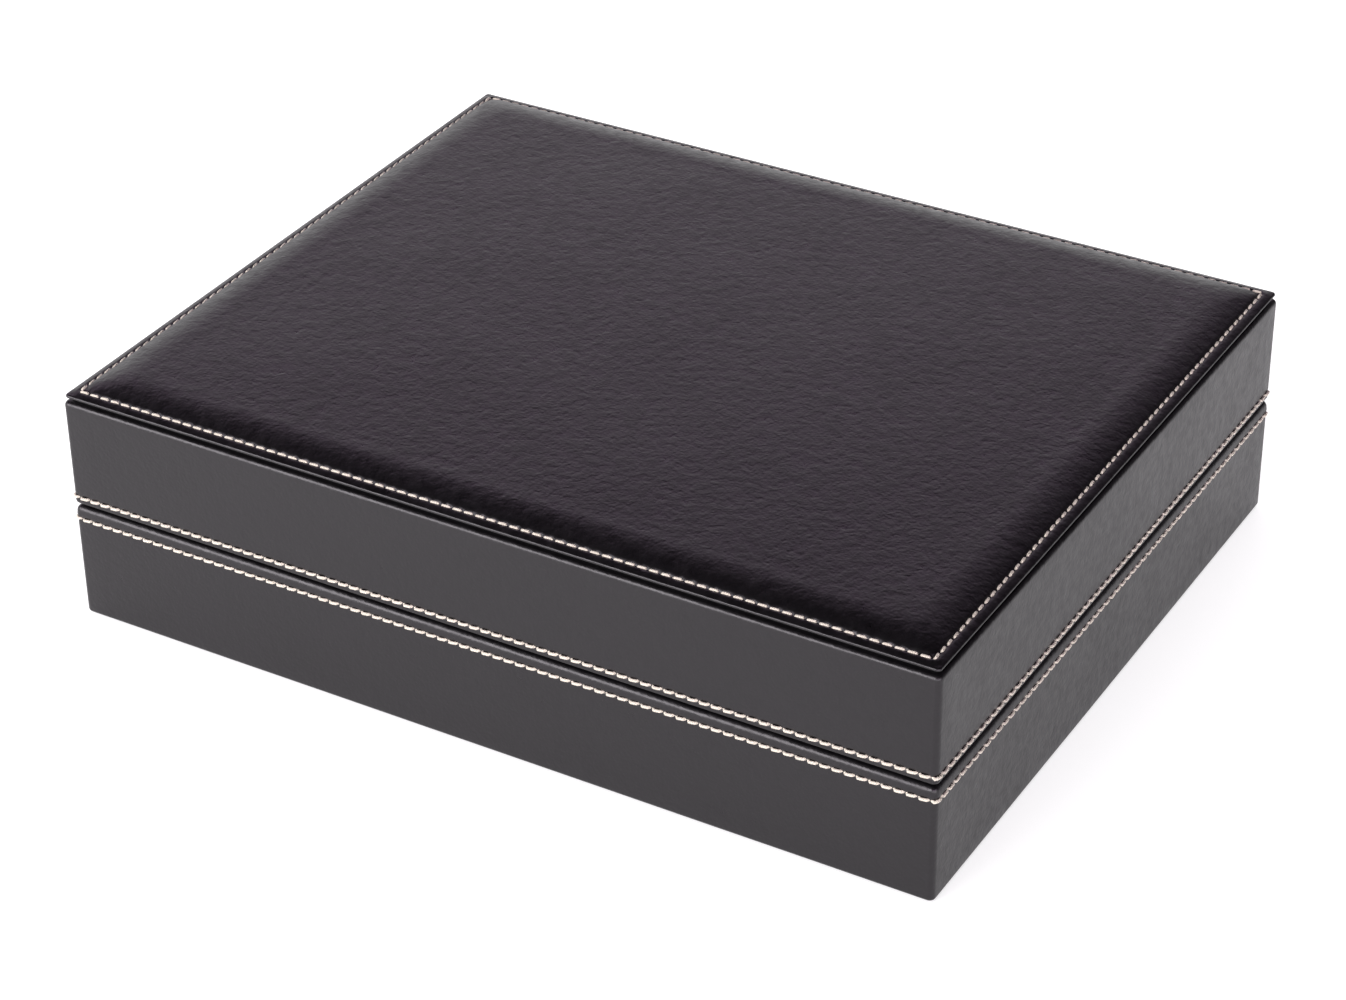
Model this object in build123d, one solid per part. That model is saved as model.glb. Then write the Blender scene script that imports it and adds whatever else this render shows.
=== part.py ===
from build123d import *
import math
import os

# A leatherette coin case: a hinged lid with a padded cover plate, and a stack of loose coin trays.
# Millimetres. X runs along the front, Y to the back, Z up, and the underside rests on Z = 0.

# Outline of the case and its levels
case_length = 305.0
case_depth = 245.0
underside_thickness = 0.6
base_rim_level = 41.1
parting_gap = 1.1
lid_frame_height = 37.2
corner_radius = 2.0
rim_radius = 1.8
foot_radius = 1.2

# Leatherette wrap
wrap_thickness = 0.8
wrap_turn_in = 12.0
wrap_turn_under = 15.0

# Boards under the wrap
base_board = 7.0
lid_board = 6.5
floor_board = 4.0
top_board = 4.0

# Velvet-covered cards that line the inside
base_liner = 1.8
lid_liner = 1.2
floor_lining = 1.2
neck_height = 4.5
neck_clearance = 1.0
rear_liner_drop = 0.6
liner_edge_cut = 0.6

# Padded cover plate on the lid
cover_groove = 1.7
cover_groove_depth = 2.2
cover_board = 0.5
cover_leather = 0.5
cover_inset = 0.3
cover_corner_radius = 1.6
cover_edge_radius = 0.45
seam_margin = 4.6
roll_width = 13.0
shoulder_radius = 2.2
shoulder_start_angle = 55.0
shoulder_end_angle = 18.0

# Cushion under the lid's top board
ceiling_card = 2.0
ceiling_clearance = 0.8

# Coin trays
tray_thickness = 13.0
tray_gap = 0.3
tray_side_clearance = 1.2
tray_headroom = 5.0
tray_corner_cut = 3.0
tray_edge_cut = 0.8
tray_end_border = 8.0
thumb_notch_radius = 11.0
pocket_depth = 3.6
pocket_draft = 0.8
pocket_web = 4.0
tray_pockets = [("square", 58.0), ("square", 46.0), ("square", 36.0), ("round", 42.0)]

# Stop hinges at the back
hinge_end_margin = 67.5
hinge_offset = 1.2
leaf_length = 38.0
leaf_thickness = 1.2
leaf_clearance = 0.2
leaf_setback = 0.9
knuckle_count = 3
knuckle_side_gap = 0.15
barrel_radius = 1.8
barrel_clearance = 0.3
pin_radius = 0.8
pin_running_clearance = 0.05
pin_overhang = 0.5
opening_angle = 95.0
stop_slack = 0.5
heel_reach = 5.2
heel_drop = 7.4
heel_lip = 1.0

# Pointed tangs that hold the hinge leaves in kerfs in the boards
tang_spacing = 26.0
tang_length = 6.0
tang_width = 4.0
tang_thickness = 1.0
tang_point = 1.5

# Hidden magnets that hold the lid shut
magnet_length = 15.0
magnet_width = 4.0
magnet_height = 3.0
magnet_end_margin = 52.5

# Levels and spans that follow from the sizes above
base_bottom = underside_thickness
board_bottom = base_bottom + wrap_thickness
base_board_top = base_rim_level - wrap_thickness
base_wall = wrap_thickness + base_board + wrap_thickness
floor_top = board_bottom + floor_board
neck_top = base_rim_level + neck_height

lid_bottom = base_rim_level + parting_gap
lid_top = lid_bottom + lid_frame_height
lid_board_bottom = lid_bottom + wrap_thickness
lid_board_top = lid_top - wrap_thickness
lid_wall = wrap_thickness + lid_board + wrap_thickness
ceiling_level = lid_board_top - top_board

cover_bottom = lid_top + cover_groove
cover_board_top = cover_bottom + cover_board
cover_flange_level = cover_board_top + cover_leather

inner_length = case_length - 2 * (base_wall + base_liner)
inner_depth = case_depth - 2 * (base_wall + base_liner)
tray_length = inner_length - 2 * tray_side_clearance
tray_depth = inner_depth - 2 * tray_side_clearance
stack_bottom = floor_top + floor_lining

hinge_spacing = case_length - 2 * hinge_end_margin
magnet_spacing = case_length - 2 * magnet_end_margin
hinge_y = case_depth / 2 + hinge_offset
hinge_z = base_rim_level + parting_gap / 2
knuckle_length = leaf_length / knuckle_count


# Shared shapes

def block(length, depth, bottom, top):
    """A box centred on the case between two levels."""
    return Pos(0, 0, (bottom + top) / 2) * Box(length, depth, top - bottom)


def span_block(x_span, y_span, z_span):
    """A box between two places on each axis."""
    low, high = zip(x_span, y_span, z_span)
    size = [b - a for a, b in zip(low, high)]
    middle = [(a + b) / 2 for a, b in zip(low, high)]
    return Pos(*middle) * Box(*size)


def rounded_block(length, depth, bottom, top, corner, top_edge=0.0, bottom_edge=0.0):
    """A block with rounded upright corners, and with rounded top and bottom edges where given."""
    body = block(length, depth, bottom, top)
    body = fillet(body.edges().filter_by(Axis.Z), corner)
    if top_edge > 0:
        body = fillet(body.faces().sort_by(Axis.Z)[-1].edges(), top_edge)
    if bottom_edge > 0:
        body = fillet(body.faces().sort_by(Axis.Z)[0].edges(), bottom_edge)
    return body


def roll_rise():
    """Height that the padded roll gains from the seam to the flat of the pad."""
    start = math.radians(shoulder_start_angle)
    end = math.radians(shoulder_end_angle)
    sweep = sweep_radius()
    return shoulder_radius * (math.cos(end) - math.cos(start)) + sweep * (1 - math.cos(end))


def sweep_radius():
    """Radius of the roll's long arc, which ends level at the roll's width."""
    start = math.radians(shoulder_start_angle)
    end = math.radians(shoulder_end_angle)
    return (roll_width - shoulder_radius * (math.sin(start) - math.sin(end))) / math.sin(end)


def roll_section(width):
    """Section of a crowned pad: a steep shoulder, a long arc and a flat, mirrored."""
    start = math.radians(shoulder_start_angle)
    shoulder_turn = shoulder_end_angle - shoulder_start_angle
    shoulder = JernArc(
        start=(-width / 2, 0),
        tangent=(math.cos(start), math.sin(start)),
        radius=shoulder_radius,
        arc_size=shoulder_turn,
    )
    long_arc = JernArc(
        start=shoulder @ 1,
        tangent=shoulder % 1,
        radius=sweep_radius(),
        arc_size=-shoulder_end_angle,
    )
    half_top = Line(long_arc @ 1, (0, (long_arc @ 1).Y))
    half = [shoulder, long_arc, half_top]
    other_half = [mirror(edge, Plane.YZ) for edge in half]
    floor_line = Line((-width / 2, 0), (width / 2, 0))
    return make_face(Wire.combine(half + other_half + [floor_line])[0].edges())


def crown(length, depth, level):
    """A crowned pad that swells from its seam on all four sides and meets in hips at the corners."""
    along_depth = extrude(Plane.XZ * roll_section(length), depth / 2, both=True)
    along_length = extrude(Plane.YZ * roll_section(depth), length / 2, both=True)
    return Pos(0, 0, level) * (along_depth & along_length)


# Leatherette wraps and the boards under them

def base_core():
    """The outside of the base's boards, which the wrap follows."""
    return rounded_block(
        case_length - 2 * wrap_thickness,
        case_depth - 2 * wrap_thickness,
        board_bottom,
        base_board_top,
        corner_radius - wrap_thickness,
    )


def lid_core():
    """The outside of the lid's boards, which the wrap follows."""
    return rounded_block(
        case_length - 2 * wrap_thickness,
        case_depth - 2 * wrap_thickness,
        lid_board_bottom,
        lid_board_top,
        corner_radius - wrap_thickness,
    )


def turn_in_ring(board, bottom, top):
    """The strip of wrap that is turned in over the rim and glued down the inner faces."""
    outer_edge = 2 * (wrap_thickness + board)
    inner_edge = outer_edge + 2 * wrap_thickness
    outer = block(case_length - outer_edge, case_depth - outer_edge, bottom, top)
    return outer - block(case_length - inner_edge, case_depth - inner_edge, bottom, top)


def make_base_wrap():
    skin = rounded_block(
        case_length, case_depth, base_bottom, base_rim_level, corner_radius, rim_radius, foot_radius
    )
    skin -= base_core()
    skin -= block(
        case_length - 2 * base_wall, case_depth - 2 * base_wall, base_board_top, base_rim_level
    )
    skin -= block(
        case_length - 2 * wrap_turn_under,
        case_depth - 2 * wrap_turn_under,
        base_bottom,
        board_bottom,
    )
    skin += turn_in_ring(base_board, base_board_top - wrap_turn_in, base_board_top)
    return skin - hinge_recess(-1)


def make_lid_wrap():
    skin = rounded_block(
        case_length, case_depth, lid_bottom, lid_top, corner_radius, rim_radius, rim_radius
    )
    skin -= lid_core()
    skin -= block(
        case_length - 2 * lid_wall, case_depth - 2 * lid_wall, lid_bottom, lid_board_bottom
    )
    skin -= block(
        case_length - 2 * wrap_turn_under, case_depth - 2 * wrap_turn_under, lid_board_top, lid_top
    )
    skin += turn_in_ring(lid_board, lid_board_bottom, lid_board_bottom + wrap_turn_in)
    return skin - hinge_recess(1)


def wall_boards(core, board, prefix):
    """Four upright boards: front and rear run the full length, and the sides fit between them."""
    bottom = core.bounding_box().min.Z
    top = core.bounding_box().max.Z
    edge = 2 * (wrap_thickness + board)
    hollow_length = case_length - edge
    hollow_depth = case_depth - edge
    ring = core - block(hollow_length, hollow_depth, bottom, top)
    half_length = case_length / 2
    half_depth = case_depth / 2
    full_x = (-half_length, half_length)
    inner_y = (-hollow_depth / 2, hollow_depth / 2)
    levels = (bottom, top)
    return {
        prefix + "_front_board": ring & span_block(full_x, (-half_depth, -hollow_depth / 2), levels),
        prefix + "_rear_board": ring & span_block(full_x, (hollow_depth / 2, half_depth), levels),
        prefix + "_left_board": ring & span_block((-half_length, -hollow_length / 2), inner_y, levels),
        prefix + "_right_board": ring & span_block((hollow_length / 2, half_length), inner_y, levels),
    }


def make_base_boards():
    boards = wall_boards(base_core(), base_board, "base")
    boards["base_front_board"] -= magnet_bars(base_board, base_board_top - magnet_height)
    boards["base_rear_board"] -= hinge_recess(-1)
    edge = 2 * (wrap_thickness + base_board)
    boards["base_floor_board"] = block(case_length - edge, case_depth - edge, board_bottom, floor_top)
    return boards


def make_lid_boards():
    boards = wall_boards(lid_core(), lid_board, "lid")
    boards["lid_front_board"] -= magnet_bars(lid_board, lid_board_bottom)
    boards["lid_rear_board"] -= hinge_recess(1)
    edge = 2 * (wrap_thickness + lid_board)
    boards["lid_top_board"] = block(case_length - edge, case_depth - edge, ceiling_level, lid_board_top)
    return boards


def make_underside_sheet():
    """Felt sheet under the case, which hides the turned-under edge of the wrap."""
    inset = 2 * (foot_radius + wrap_thickness)
    return rounded_block(case_length - inset, case_depth - inset, 0, base_bottom, corner_radius)


# Lining cards

def liner_set(prefix, wall, liner, lows, highs):
    """Front, rear, left and right lining cards; the side cards fit between the other two."""
    half_length = case_length / 2 - wall
    half_depth = case_depth / 2 - wall
    full_x = (-half_length, half_length)
    between_y = (-half_depth + liner, half_depth - liner)
    spans = {
        "front": (full_x, (-half_depth, -half_depth + liner)),
        "rear": (full_x, (half_depth - liner, half_depth)),
        "left": ((-half_length, -half_length + liner), between_y),
        "right": ((half_length - liner, half_length), between_y),
    }
    cards = {}
    for side, (x_span, y_span) in spans.items():
        card = span_block(x_span, y_span, (lows[side], highs[side]))
        lengthwise = Axis.X if side in ("front", "rear") else Axis.Y
        top_edges = card.faces().sort_by(Axis.Z)[-1].edges().filter_by(lengthwise)
        cut = min(liner_edge_cut, liner * 0.4)
        cards[prefix + "_liner_" + side] = chamfer(top_edges, cut)
    return cards


def make_base_liners():
    """The front and side cards stand above the rim as a neck that the closing lid slides over."""
    lows = dict.fromkeys(("front", "rear", "left", "right"), floor_top)
    highs = dict.fromkeys(("front", "left", "right"), neck_top)
    highs["rear"] = base_rim_level - rear_liner_drop
    return liner_set("base", base_wall, base_liner, lows, highs)


def make_lid_liners():
    """The front and side cards stop above the neck; the rear one starts at the rim."""
    lows = dict.fromkeys(("front", "left", "right"), neck_top + neck_clearance)
    lows["rear"] = lid_board_bottom
    highs = dict.fromkeys(("front", "rear", "left", "right"), ceiling_level)
    return liner_set("lid", lid_wall, lid_liner, lows, highs)


def make_floor_lining():
    return block(inner_length, inner_depth, floor_top, stack_bottom)


def make_ceiling_cushion():
    """Thin cushion under the lid's top board; its crown faces the trays."""
    edge = 2 * (lid_wall + lid_liner + ceiling_clearance)
    length = case_length - edge
    depth = case_depth - edge
    card_bottom = ceiling_level - ceiling_card
    card = block(length, depth, card_bottom, ceiling_level)
    pad = Pos(0, 0, card_bottom) * Rot(180, 0, 0) * crown(length, depth, 0)
    return card + pad


# Padded cover plate

def make_cover_spacer():
    """Card that lifts the cover plate off the lid frame and leaves the dark groove around it."""
    inset = 2 * (cover_inset + cover_groove_depth)
    return block(case_length - inset, case_depth - inset, lid_top, cover_bottom)


def cover_outline(inset, bottom, top, corner, edge=0.0):
    length = case_length - 2 * (cover_inset + inset)
    depth = case_depth - 2 * (cover_inset + inset)
    return rounded_block(length, depth, bottom, top, corner, edge)


def make_cover_board():
    corner = cover_corner_radius - cover_leather
    return cover_outline(cover_leather, cover_bottom, cover_board_top, corner)


def make_cover_foam():
    margin = 2 * (cover_inset + seam_margin)
    return crown(case_length - margin, case_depth - margin, cover_board_top)


def make_cover_leather():
    """Leatherette over the plate's edge, sewn down along a flat border and swelling over the foam."""
    margin = 2 * (cover_inset + seam_margin)
    flange = cover_outline(0, cover_bottom, cover_flange_level, cover_corner_radius, cover_edge_radius)
    skin = flange + crown(case_length - margin, case_depth - margin, cover_flange_level)
    return skin - make_cover_board() - make_cover_foam()


# Magnets

def magnet_bars(board, bottom):
    """A bar near each end of the front board, halfway through its thickness."""
    bar_y = -case_depth / 2 + wrap_thickness + board / 2
    bar = Pos(0, bar_y, bottom + magnet_height / 2) * Box(magnet_length, magnet_width, magnet_height)
    return Pos(-magnet_spacing / 2, 0, 0) * bar + Pos(magnet_spacing / 2, 0, 0) * bar


# Stop hinges. Side -1 is the leaf let into the base, and side 1 the one in the lid.

def hinge_places():
    return (-hinge_spacing / 2, hinge_spacing / 2)


def leaf_owner(index):
    """The base leaf has the outer knuckles, and the lid leaf the one between them."""
    return -1 if index % 2 == 0 else 1


def across_pin(x_place):
    """The plane square to the pin, with its origin on the pin, Y to the right and Z up."""
    return Plane((x_place, hinge_y, hinge_z), x_dir=(0, 1, 0), z_dir=(1, 0, 0))


def leaf_front():
    """Where a leaf ends towards the inside of the case, measured from the pin."""
    return leaf_setback - base_wall - hinge_offset


def plate_section(side):
    """The flat part of a leaf, let into the rim from the pin nearly to the wall's inner face."""
    middle_z = side * (leaf_clearance + leaf_thickness / 2)
    return Pos(leaf_front() / 2, middle_z) * Rectangle(-leaf_front(), leaf_thickness)


def heel_section(side):
    """The bevelled heel behind the barrel: at full opening the two bevels meet and stop the lid."""
    bevel = math.radians((opening_angle + stop_slack) / 2)
    tip_y = heel_reach * math.cos(bevel)
    tip_z = heel_reach * math.sin(bevel)
    outline = [
        (-hinge_offset, leaf_clearance + leaf_thickness / 2),
        (pin_radius * math.cos(bevel), pin_radius * math.sin(bevel)),
        (tip_y, tip_z),
        (tip_y, tip_z + heel_lip),
        (-hinge_offset, heel_drop),
    ]
    points = [(y, side * z) for y, z in outline]
    return make_face(Polyline(*points, close=True).edges())


def leaf_section(side, has_knuckle):
    """Section of a leaf: plate and heel, with the drilled barrel or with room for the other's."""
    body = plate_section(side) + heel_section(side)
    if has_knuckle:
        hole = pin_radius if side < 0 else pin_radius + pin_running_clearance
        return body + Circle(barrel_radius) - Circle(hole)
    return body - Circle(barrel_radius + barrel_clearance)


def make_leaf(side, x_middle):
    """One leaf, made of a stretch for each knuckle that it owns or leaves room for."""
    leaf = Part()
    for index in range(knuckle_count):
        has_knuckle = leaf_owner(index) == side
        trim = knuckle_side_gap if has_knuckle else -knuckle_side_gap
        start = x_middle - leaf_length / 2 + index * knuckle_length
        end = start + knuckle_length
        if index > 0:
            start += trim
        if index < knuckle_count - 1:
            end -= trim
        leaf += extrude(across_pin(start) * leaf_section(side, has_knuckle), end - start)
    return leaf + tangs(side, x_middle)


def make_pin(x_middle):
    """The pin is pressed into the base leaf's knuckles and runs free in the lid leaf's."""
    half = leaf_length / 2 + pin_overhang
    return extrude(across_pin(x_middle - half) * Circle(pin_radius), 2 * half)


def tangs(side, x_middle):
    """Two flat pointed tangs under a leaf, midway between the barrel and the leaf's inner edge."""
    plate_far = leaf_clearance + leaf_thickness
    place_y = (leaf_front() - barrel_radius - barrel_clearance) / 2
    outline = [
        (-tang_width / 2, plate_far),
        (tang_width / 2, plate_far),
        (tang_width / 2, plate_far + tang_length - tang_point),
        (0, plate_far + tang_length),
        (-tang_width / 2, plate_far + tang_length - tang_point),
    ]
    points = [(x, side * z) for x, z in outline]
    face = Plane.XZ * make_face(Polyline(*points, close=True).edges())
    blade = Pos(x_middle, hinge_y + place_y, hinge_z) * extrude(face, tang_thickness / 2, both=True)
    return Pos(-tang_spacing / 2, 0, 0) * blade + Pos(tang_spacing / 2, 0, 0) * blade


def hinge_recess(side):
    """Room in the rim for both leaves of one side, their knuckles and their tangs."""
    section = plate_section(side) + Circle(barrel_radius + barrel_clearance)
    room = Part()
    for x_middle in hinge_places():
        room += extrude(across_pin(x_middle - leaf_length / 2) * section, leaf_length)
        room += tangs(side, x_middle)
    return room


def make_hinges():
    pieces = {}
    for name, x_middle in zip(("left", "right"), hinge_places()):
        pieces["hinge_" + name + "_base_leaf"] = make_leaf(-1, x_middle)
        pieces["hinge_" + name + "_lid_leaf"] = make_leaf(1, x_middle)
        pieces["hinge_" + name + "_pin"] = make_pin(x_middle)
    return pieces


# Coin trays

def pocket_grid(size):
    """Centres of as many pockets of one size as the tray's field holds, evenly spread."""
    field_length = tray_length - 2 * (thumb_notch_radius + pocket_web / 2)
    field_depth = tray_depth - 2 * tray_end_border
    columns = int((field_length + pocket_web) // (size + pocket_web))
    rows = int((field_depth + pocket_web) // (size + pocket_web))
    step_x = field_length / columns
    step_y = field_depth / rows
    return [
        ((column - (columns - 1) / 2) * step_x, (row - (rows - 1) / 2) * step_y)
        for column in range(columns)
        for row in range(rows)
    ]


def pocket_cutter(shape, size, top):
    """One pocket with drafted walls, as it is moulded."""
    floor = top - pocket_depth
    inner = size - 2 * pocket_draft
    if shape == "round":
        return Pos(0, 0, (floor + top) / 2) * Cone(inner / 2, size / 2, pocket_depth)
    mouth = Pos(0, 0, top) * Rectangle(size, size)
    bottom = Pos(0, 0, floor) * Rectangle(inner, inner)
    return loft([bottom, mouth], ruled=True)


def make_tray(index, shape, size):
    bottom = stack_bottom + index * (tray_thickness + tray_gap)
    top = bottom + tray_thickness
    tray = block(tray_length, tray_depth, bottom, top)
    tray = chamfer(tray.edges().filter_by(Axis.Z), tray_corner_cut)
    rims = tray.faces().sort_by(Axis.Z)
    tray = chamfer(rims[0].edges() + rims[-1].edges(), tray_edge_cut)
    notch = Cylinder(thumb_notch_radius, tray_thickness)
    for side in (-1, 1):
        tray -= Pos(side * tray_length / 2, 0, (bottom + top) / 2) * notch
    cutter = pocket_cutter(shape, size, top)
    return tray - [Pos(x, y, 0) * cutter for x, y in pocket_grid(size)]


def make_trays():
    """As many trays as fit between the floor and the ceiling cushion with the headroom kept."""
    ceiling = ceiling_level - ceiling_card - roll_rise()
    room = ceiling - tray_headroom - stack_bottom
    count = min(len(tray_pockets), int((room + tray_gap) // (tray_thickness + tray_gap)))
    return {
        "tray_" + str(index + 1): make_tray(index, *tray_pockets[index]) for index in range(count)
    }


# The whole case, one node for each piece

def make_case():
    pieces = {}
    pieces.update(make_base_boards())
    pieces["base_wrap"] = make_base_wrap()
    pieces["base_underside_sheet"] = make_underside_sheet()
    pieces.update(make_base_liners())
    pieces["base_floor_lining"] = make_floor_lining()
    pieces["base_magnets"] = magnet_bars(base_board, base_board_top - magnet_height)
    pieces.update(make_lid_boards())
    pieces["lid_wrap"] = make_lid_wrap()
    pieces.update(make_lid_liners())
    pieces["lid_ceiling_cushion"] = make_ceiling_cushion()
    pieces["lid_magnets"] = magnet_bars(lid_board, lid_board_bottom)
    pieces["cover_spacer"] = make_cover_spacer()
    pieces["cover_board"] = make_cover_board()
    pieces["cover_foam"] = make_cover_foam()
    pieces["cover_leather"] = make_cover_leather()
    pieces.update(make_hinges())
    pieces.update(make_trays())
    return pieces


os.makedirs("parts", exist_ok=True)
for node, piece in make_case().items():
    export_step(piece, "parts/" + node + ".step")
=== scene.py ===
import math

import bmesh
import bpy
from bpy.props import FloatProperty, FloatVectorProperty, IntProperty, PointerProperty
from mathutils import Matrix, Vector, geometry, noise


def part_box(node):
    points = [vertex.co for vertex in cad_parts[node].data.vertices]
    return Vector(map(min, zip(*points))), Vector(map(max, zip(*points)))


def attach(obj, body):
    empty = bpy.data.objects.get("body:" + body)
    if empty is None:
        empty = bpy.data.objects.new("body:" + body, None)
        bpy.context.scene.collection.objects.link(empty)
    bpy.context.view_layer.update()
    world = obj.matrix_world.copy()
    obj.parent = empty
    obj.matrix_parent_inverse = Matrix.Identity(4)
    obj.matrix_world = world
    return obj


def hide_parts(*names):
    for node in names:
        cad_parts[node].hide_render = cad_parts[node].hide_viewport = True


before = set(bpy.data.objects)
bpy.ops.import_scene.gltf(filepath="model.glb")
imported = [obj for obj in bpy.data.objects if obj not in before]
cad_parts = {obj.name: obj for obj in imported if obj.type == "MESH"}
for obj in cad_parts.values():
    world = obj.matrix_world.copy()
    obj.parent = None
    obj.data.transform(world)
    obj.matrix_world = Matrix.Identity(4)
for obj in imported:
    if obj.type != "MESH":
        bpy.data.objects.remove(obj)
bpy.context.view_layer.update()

bl_info = {
    "name": "Leatherette coin case",
    "version": (1, 0, 0),
    "blender": (4, 5, 0),
    "location": "3D View > Sidebar > Coin case",
    "description": "Dresses the coin case's frame in stitched leatherette, velvet, flock and brass",
    "category": "Object",
}

BASE_LOW, BASE_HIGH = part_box("base_wrap")
LID_LOW, LID_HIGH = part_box("lid_wrap")
COVER_LOW, COVER_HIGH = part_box("cover_leather")
COVER_SKIN_THICKNESS = 0.0005
COVER_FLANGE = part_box("cover_board")[1].z + COVER_SKIN_THICKNESS
CUSHION_LOW, CUSHION_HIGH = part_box("lid_ceiling_cushion")
CEILING_CARD_THICKNESS = 0.002
HINGE_LOW, HINGE_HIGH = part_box("hinge_right_base_leaf")

MILLIMETRES = 1000
SHARP_ANGLE = math.radians(50)

# Tray node, outline of its pockets, and their width across the top
TRAY_POCKETS = (
    ("tray_1", "square", 0.058),
    ("tray_2", "square", 0.046),
    ("tray_3", "square", 0.036),
    ("tray_4", "round", 0.042),
)

# Height of a direction, from 0 at the horizon to 1 straight up, and the light that comes from there
WALL_LIGHT = (
    (0.0, (1.35, 1.35, 1.35)),
    (0.12, (1.22, 1.22, 1.22)),
    (0.24, (1.0, 0.99, 1.0)),
    (0.38, (0.82, 0.77, 0.82)),
    (0.46, (0.76, 0.64, 0.77)),
    (0.54, (1.10, 0.75, 1.13)),
    (0.60, (0.22, 0.16, 0.23)),
    (0.65, (0.02, 0.02, 0.02)),
    (0.70, (0.0, 0.0, 0.0)),
    (0.95, (0.0, 0.0, 0.0)),
    (1.0, (0.55, 0.53, 0.55)),
)


# Settings

def number(description, default, **kind):
    return FloatProperty(description=description, default=default, **kind)


def metres(description, default):
    return number(description, default, unit="LENGTH")


def degrees(description, default):
    return number(description, math.radians(default), subtype="ANGLE")


def rgb(description, *channels):
    return FloatVectorProperty(description=description, default=(*channels, 1.0), subtype="COLOR", size=4)


def xyz(description, x, y, z, subtype="TRANSLATION"):
    return FloatVectorProperty(description=description, default=(x, y, z), subtype=subtype, size=3)


class SkinSettings(bpy.types.PropertyGroup):
    corner_radius: metres("Rounding of the upright corners", 0.002)
    rim_radius: metres("Rounding of the base's rim at the parting", 0.002)
    lid_top_radius: metres("Rounding of the lid's edge under the cover", 0.0015)
    lid_rim_radius: metres("Rounding of the lid's edge at the parting", 0.001)
    foot_radius: metres("Rounding of the edge around the underside", 0.0012)
    thickness: metres("Thickness of the leatherette", 0.0008)
    turn_in: metres("Depth of the leatherette glued down inside the walls", 0.012)
    turn_under: metres("Width of the leatherette under the base and on top of the lid", 0.015)
    base_wall: metres("Thickness of the base's covered wall", 0.0086)
    lid_wall: metres("Thickness of the lid's covered wall", 0.0081)
    groove_depth: metres("How deep the thread pulls the leatherette in", 0.0003)
    groove_width: metres("Half width of the dip along a seam", 0.0007)
    band_swell: metres("How far the band between a seam and its rim stands out", 0.00014)
    waviness: metres("Unevenness of the glued leatherette over a wall", 0.00005)
    waves: number("Waves of that unevenness in a metre", 22.0)


class CoverSettings(bpy.types.PropertyGroup):
    corner_radius: metres("Rounding of the cover plate's corners", 0.0016)
    edge_radius: metres("Rounding of the cover plate's edge", 0.0006)
    trim: metres("How much further in than the solid's the sewn cover's edge lies", 0.0003)
    seam_rise: metres("How high the seam's bed lies over the card's flat border", 0.00025)
    border_drop: metres("How far the border falls from the seam to the edge", 0.0006)
    fold_width: metres("Width of the leatherette folded under the cover's edge", 0.0009)
    seam_inset: metres("Distance from the plate's edge to its seam", 0.0038)
    seam_depth: metres("How deep the thread pulls the padding down", 0.00035)
    seam_width: metres("Half width of the dip along the seam", 0.0006)
    seam_corner: metres("Rounding of the dip's corners", 0.0012)
    roll_width: metres("Width of the swelling inside the seam", 0.0125)
    shoulder_radius: metres("Radius of the steep part beside the seam", 0.0022)
    start_angle: degrees("Slope at which the padding leaves the seam", 46)
    end_angle: degrees("Slope at which the long part of the roll starts", 18.5)
    hip_rounding: metres("Rounding where two rolls meet in a corner", 0.007)
    unevenness: metres("Slow rise and fall of the padding's flat field", 0.00018)
    uneven_reach: metres("Distance from the seam to the full unevenness", 0.03)
    waves: number("Waves of that unevenness in a metre", 24.0)


class PaddingSettings(bpy.types.PropertyGroup):
    cell: metres("Width of one cell of the simulated cloth", 0.005)
    pressure: number("Pressure of the foam against the cloth", 4.0)
    frames: IntProperty(description="How long the cloth is simulated", default=16, min=2)
    cover_swell: metres("How far the middle of the cover swells", 0.00035)
    ceiling_swell: metres("How far the middle of the ceiling cushion swells", 0.0006)
    ceiling_hip: metres("Rounding where two sides of the ceiling cushion meet", 0.012)
    ceiling_edge: metres("Width over which the ceiling cushion falls to its edge", 0.0055)
    ceiling_corner: metres("Rounding of the ceiling cushion's corners", 0.0015)


class SeamSettings(bpy.types.PropertyGroup):
    pitch: metres("Distance from one needle hole to the next", 0.00395)
    thread: metres("Thickness of the thread", 0.001)
    rise: metres("Height of the thread's middle over the seam's floor", 0.00052)
    dip: metres("Depth of the thread in a needle hole", 0.0008)
    climb: number("Part of a stitch in which the thread comes out of its hole", 0.26)
    slant: metres("Sideways run of a stitch from end to end", 0.00022)
    unevenness: metres("Sideways difference from one stitch to the next", 0.00008)
    lid_level: metres("Height of the seam around the lid", 0.0448)
    base_level: metres("Height of the seam around the base", 0.0367)
    cover_sink: metres("How much deeper the cover's thread lies in its seam", 0.00036)
    hinge_margin: metres("Bare seam beside a hinge's leaf", 0.0006)
    hinge_sink: metres("How deep the thread is hidden along a hinge's leaf", 0.0012)
    seed: IntProperty(description="Seed of the stitches' small differences", default=7)


class TraySettings(bpy.types.PropertyGroup):
    corner_cut: metres("Width of the cut across a tray's corners", 0.003)
    softness: metres("How far from a tray's upright corners their rounding starts", 0.0017)
    edge_radius: metres("Rounding of a tray's outer edges", 0.0008)
    notch_radius: metres("Radius of the notches at both ends", 0.011)
    end_border: metres("Plain border along the front and the back", 0.008)
    web: metres("Least wall between two pockets", 0.004)
    pocket_depth: metres("Depth of the coin pockets", 0.0036)
    pocket_draft: metres("How much narrower a pocket's floor is on each side", 0.0008)
    pocket_corner: metres("Rounding of a square pocket's corners", 0.0022)
    lip_radius: metres("Rounding of a pocket's lip and of its floor's edge", 0.0006)


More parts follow.
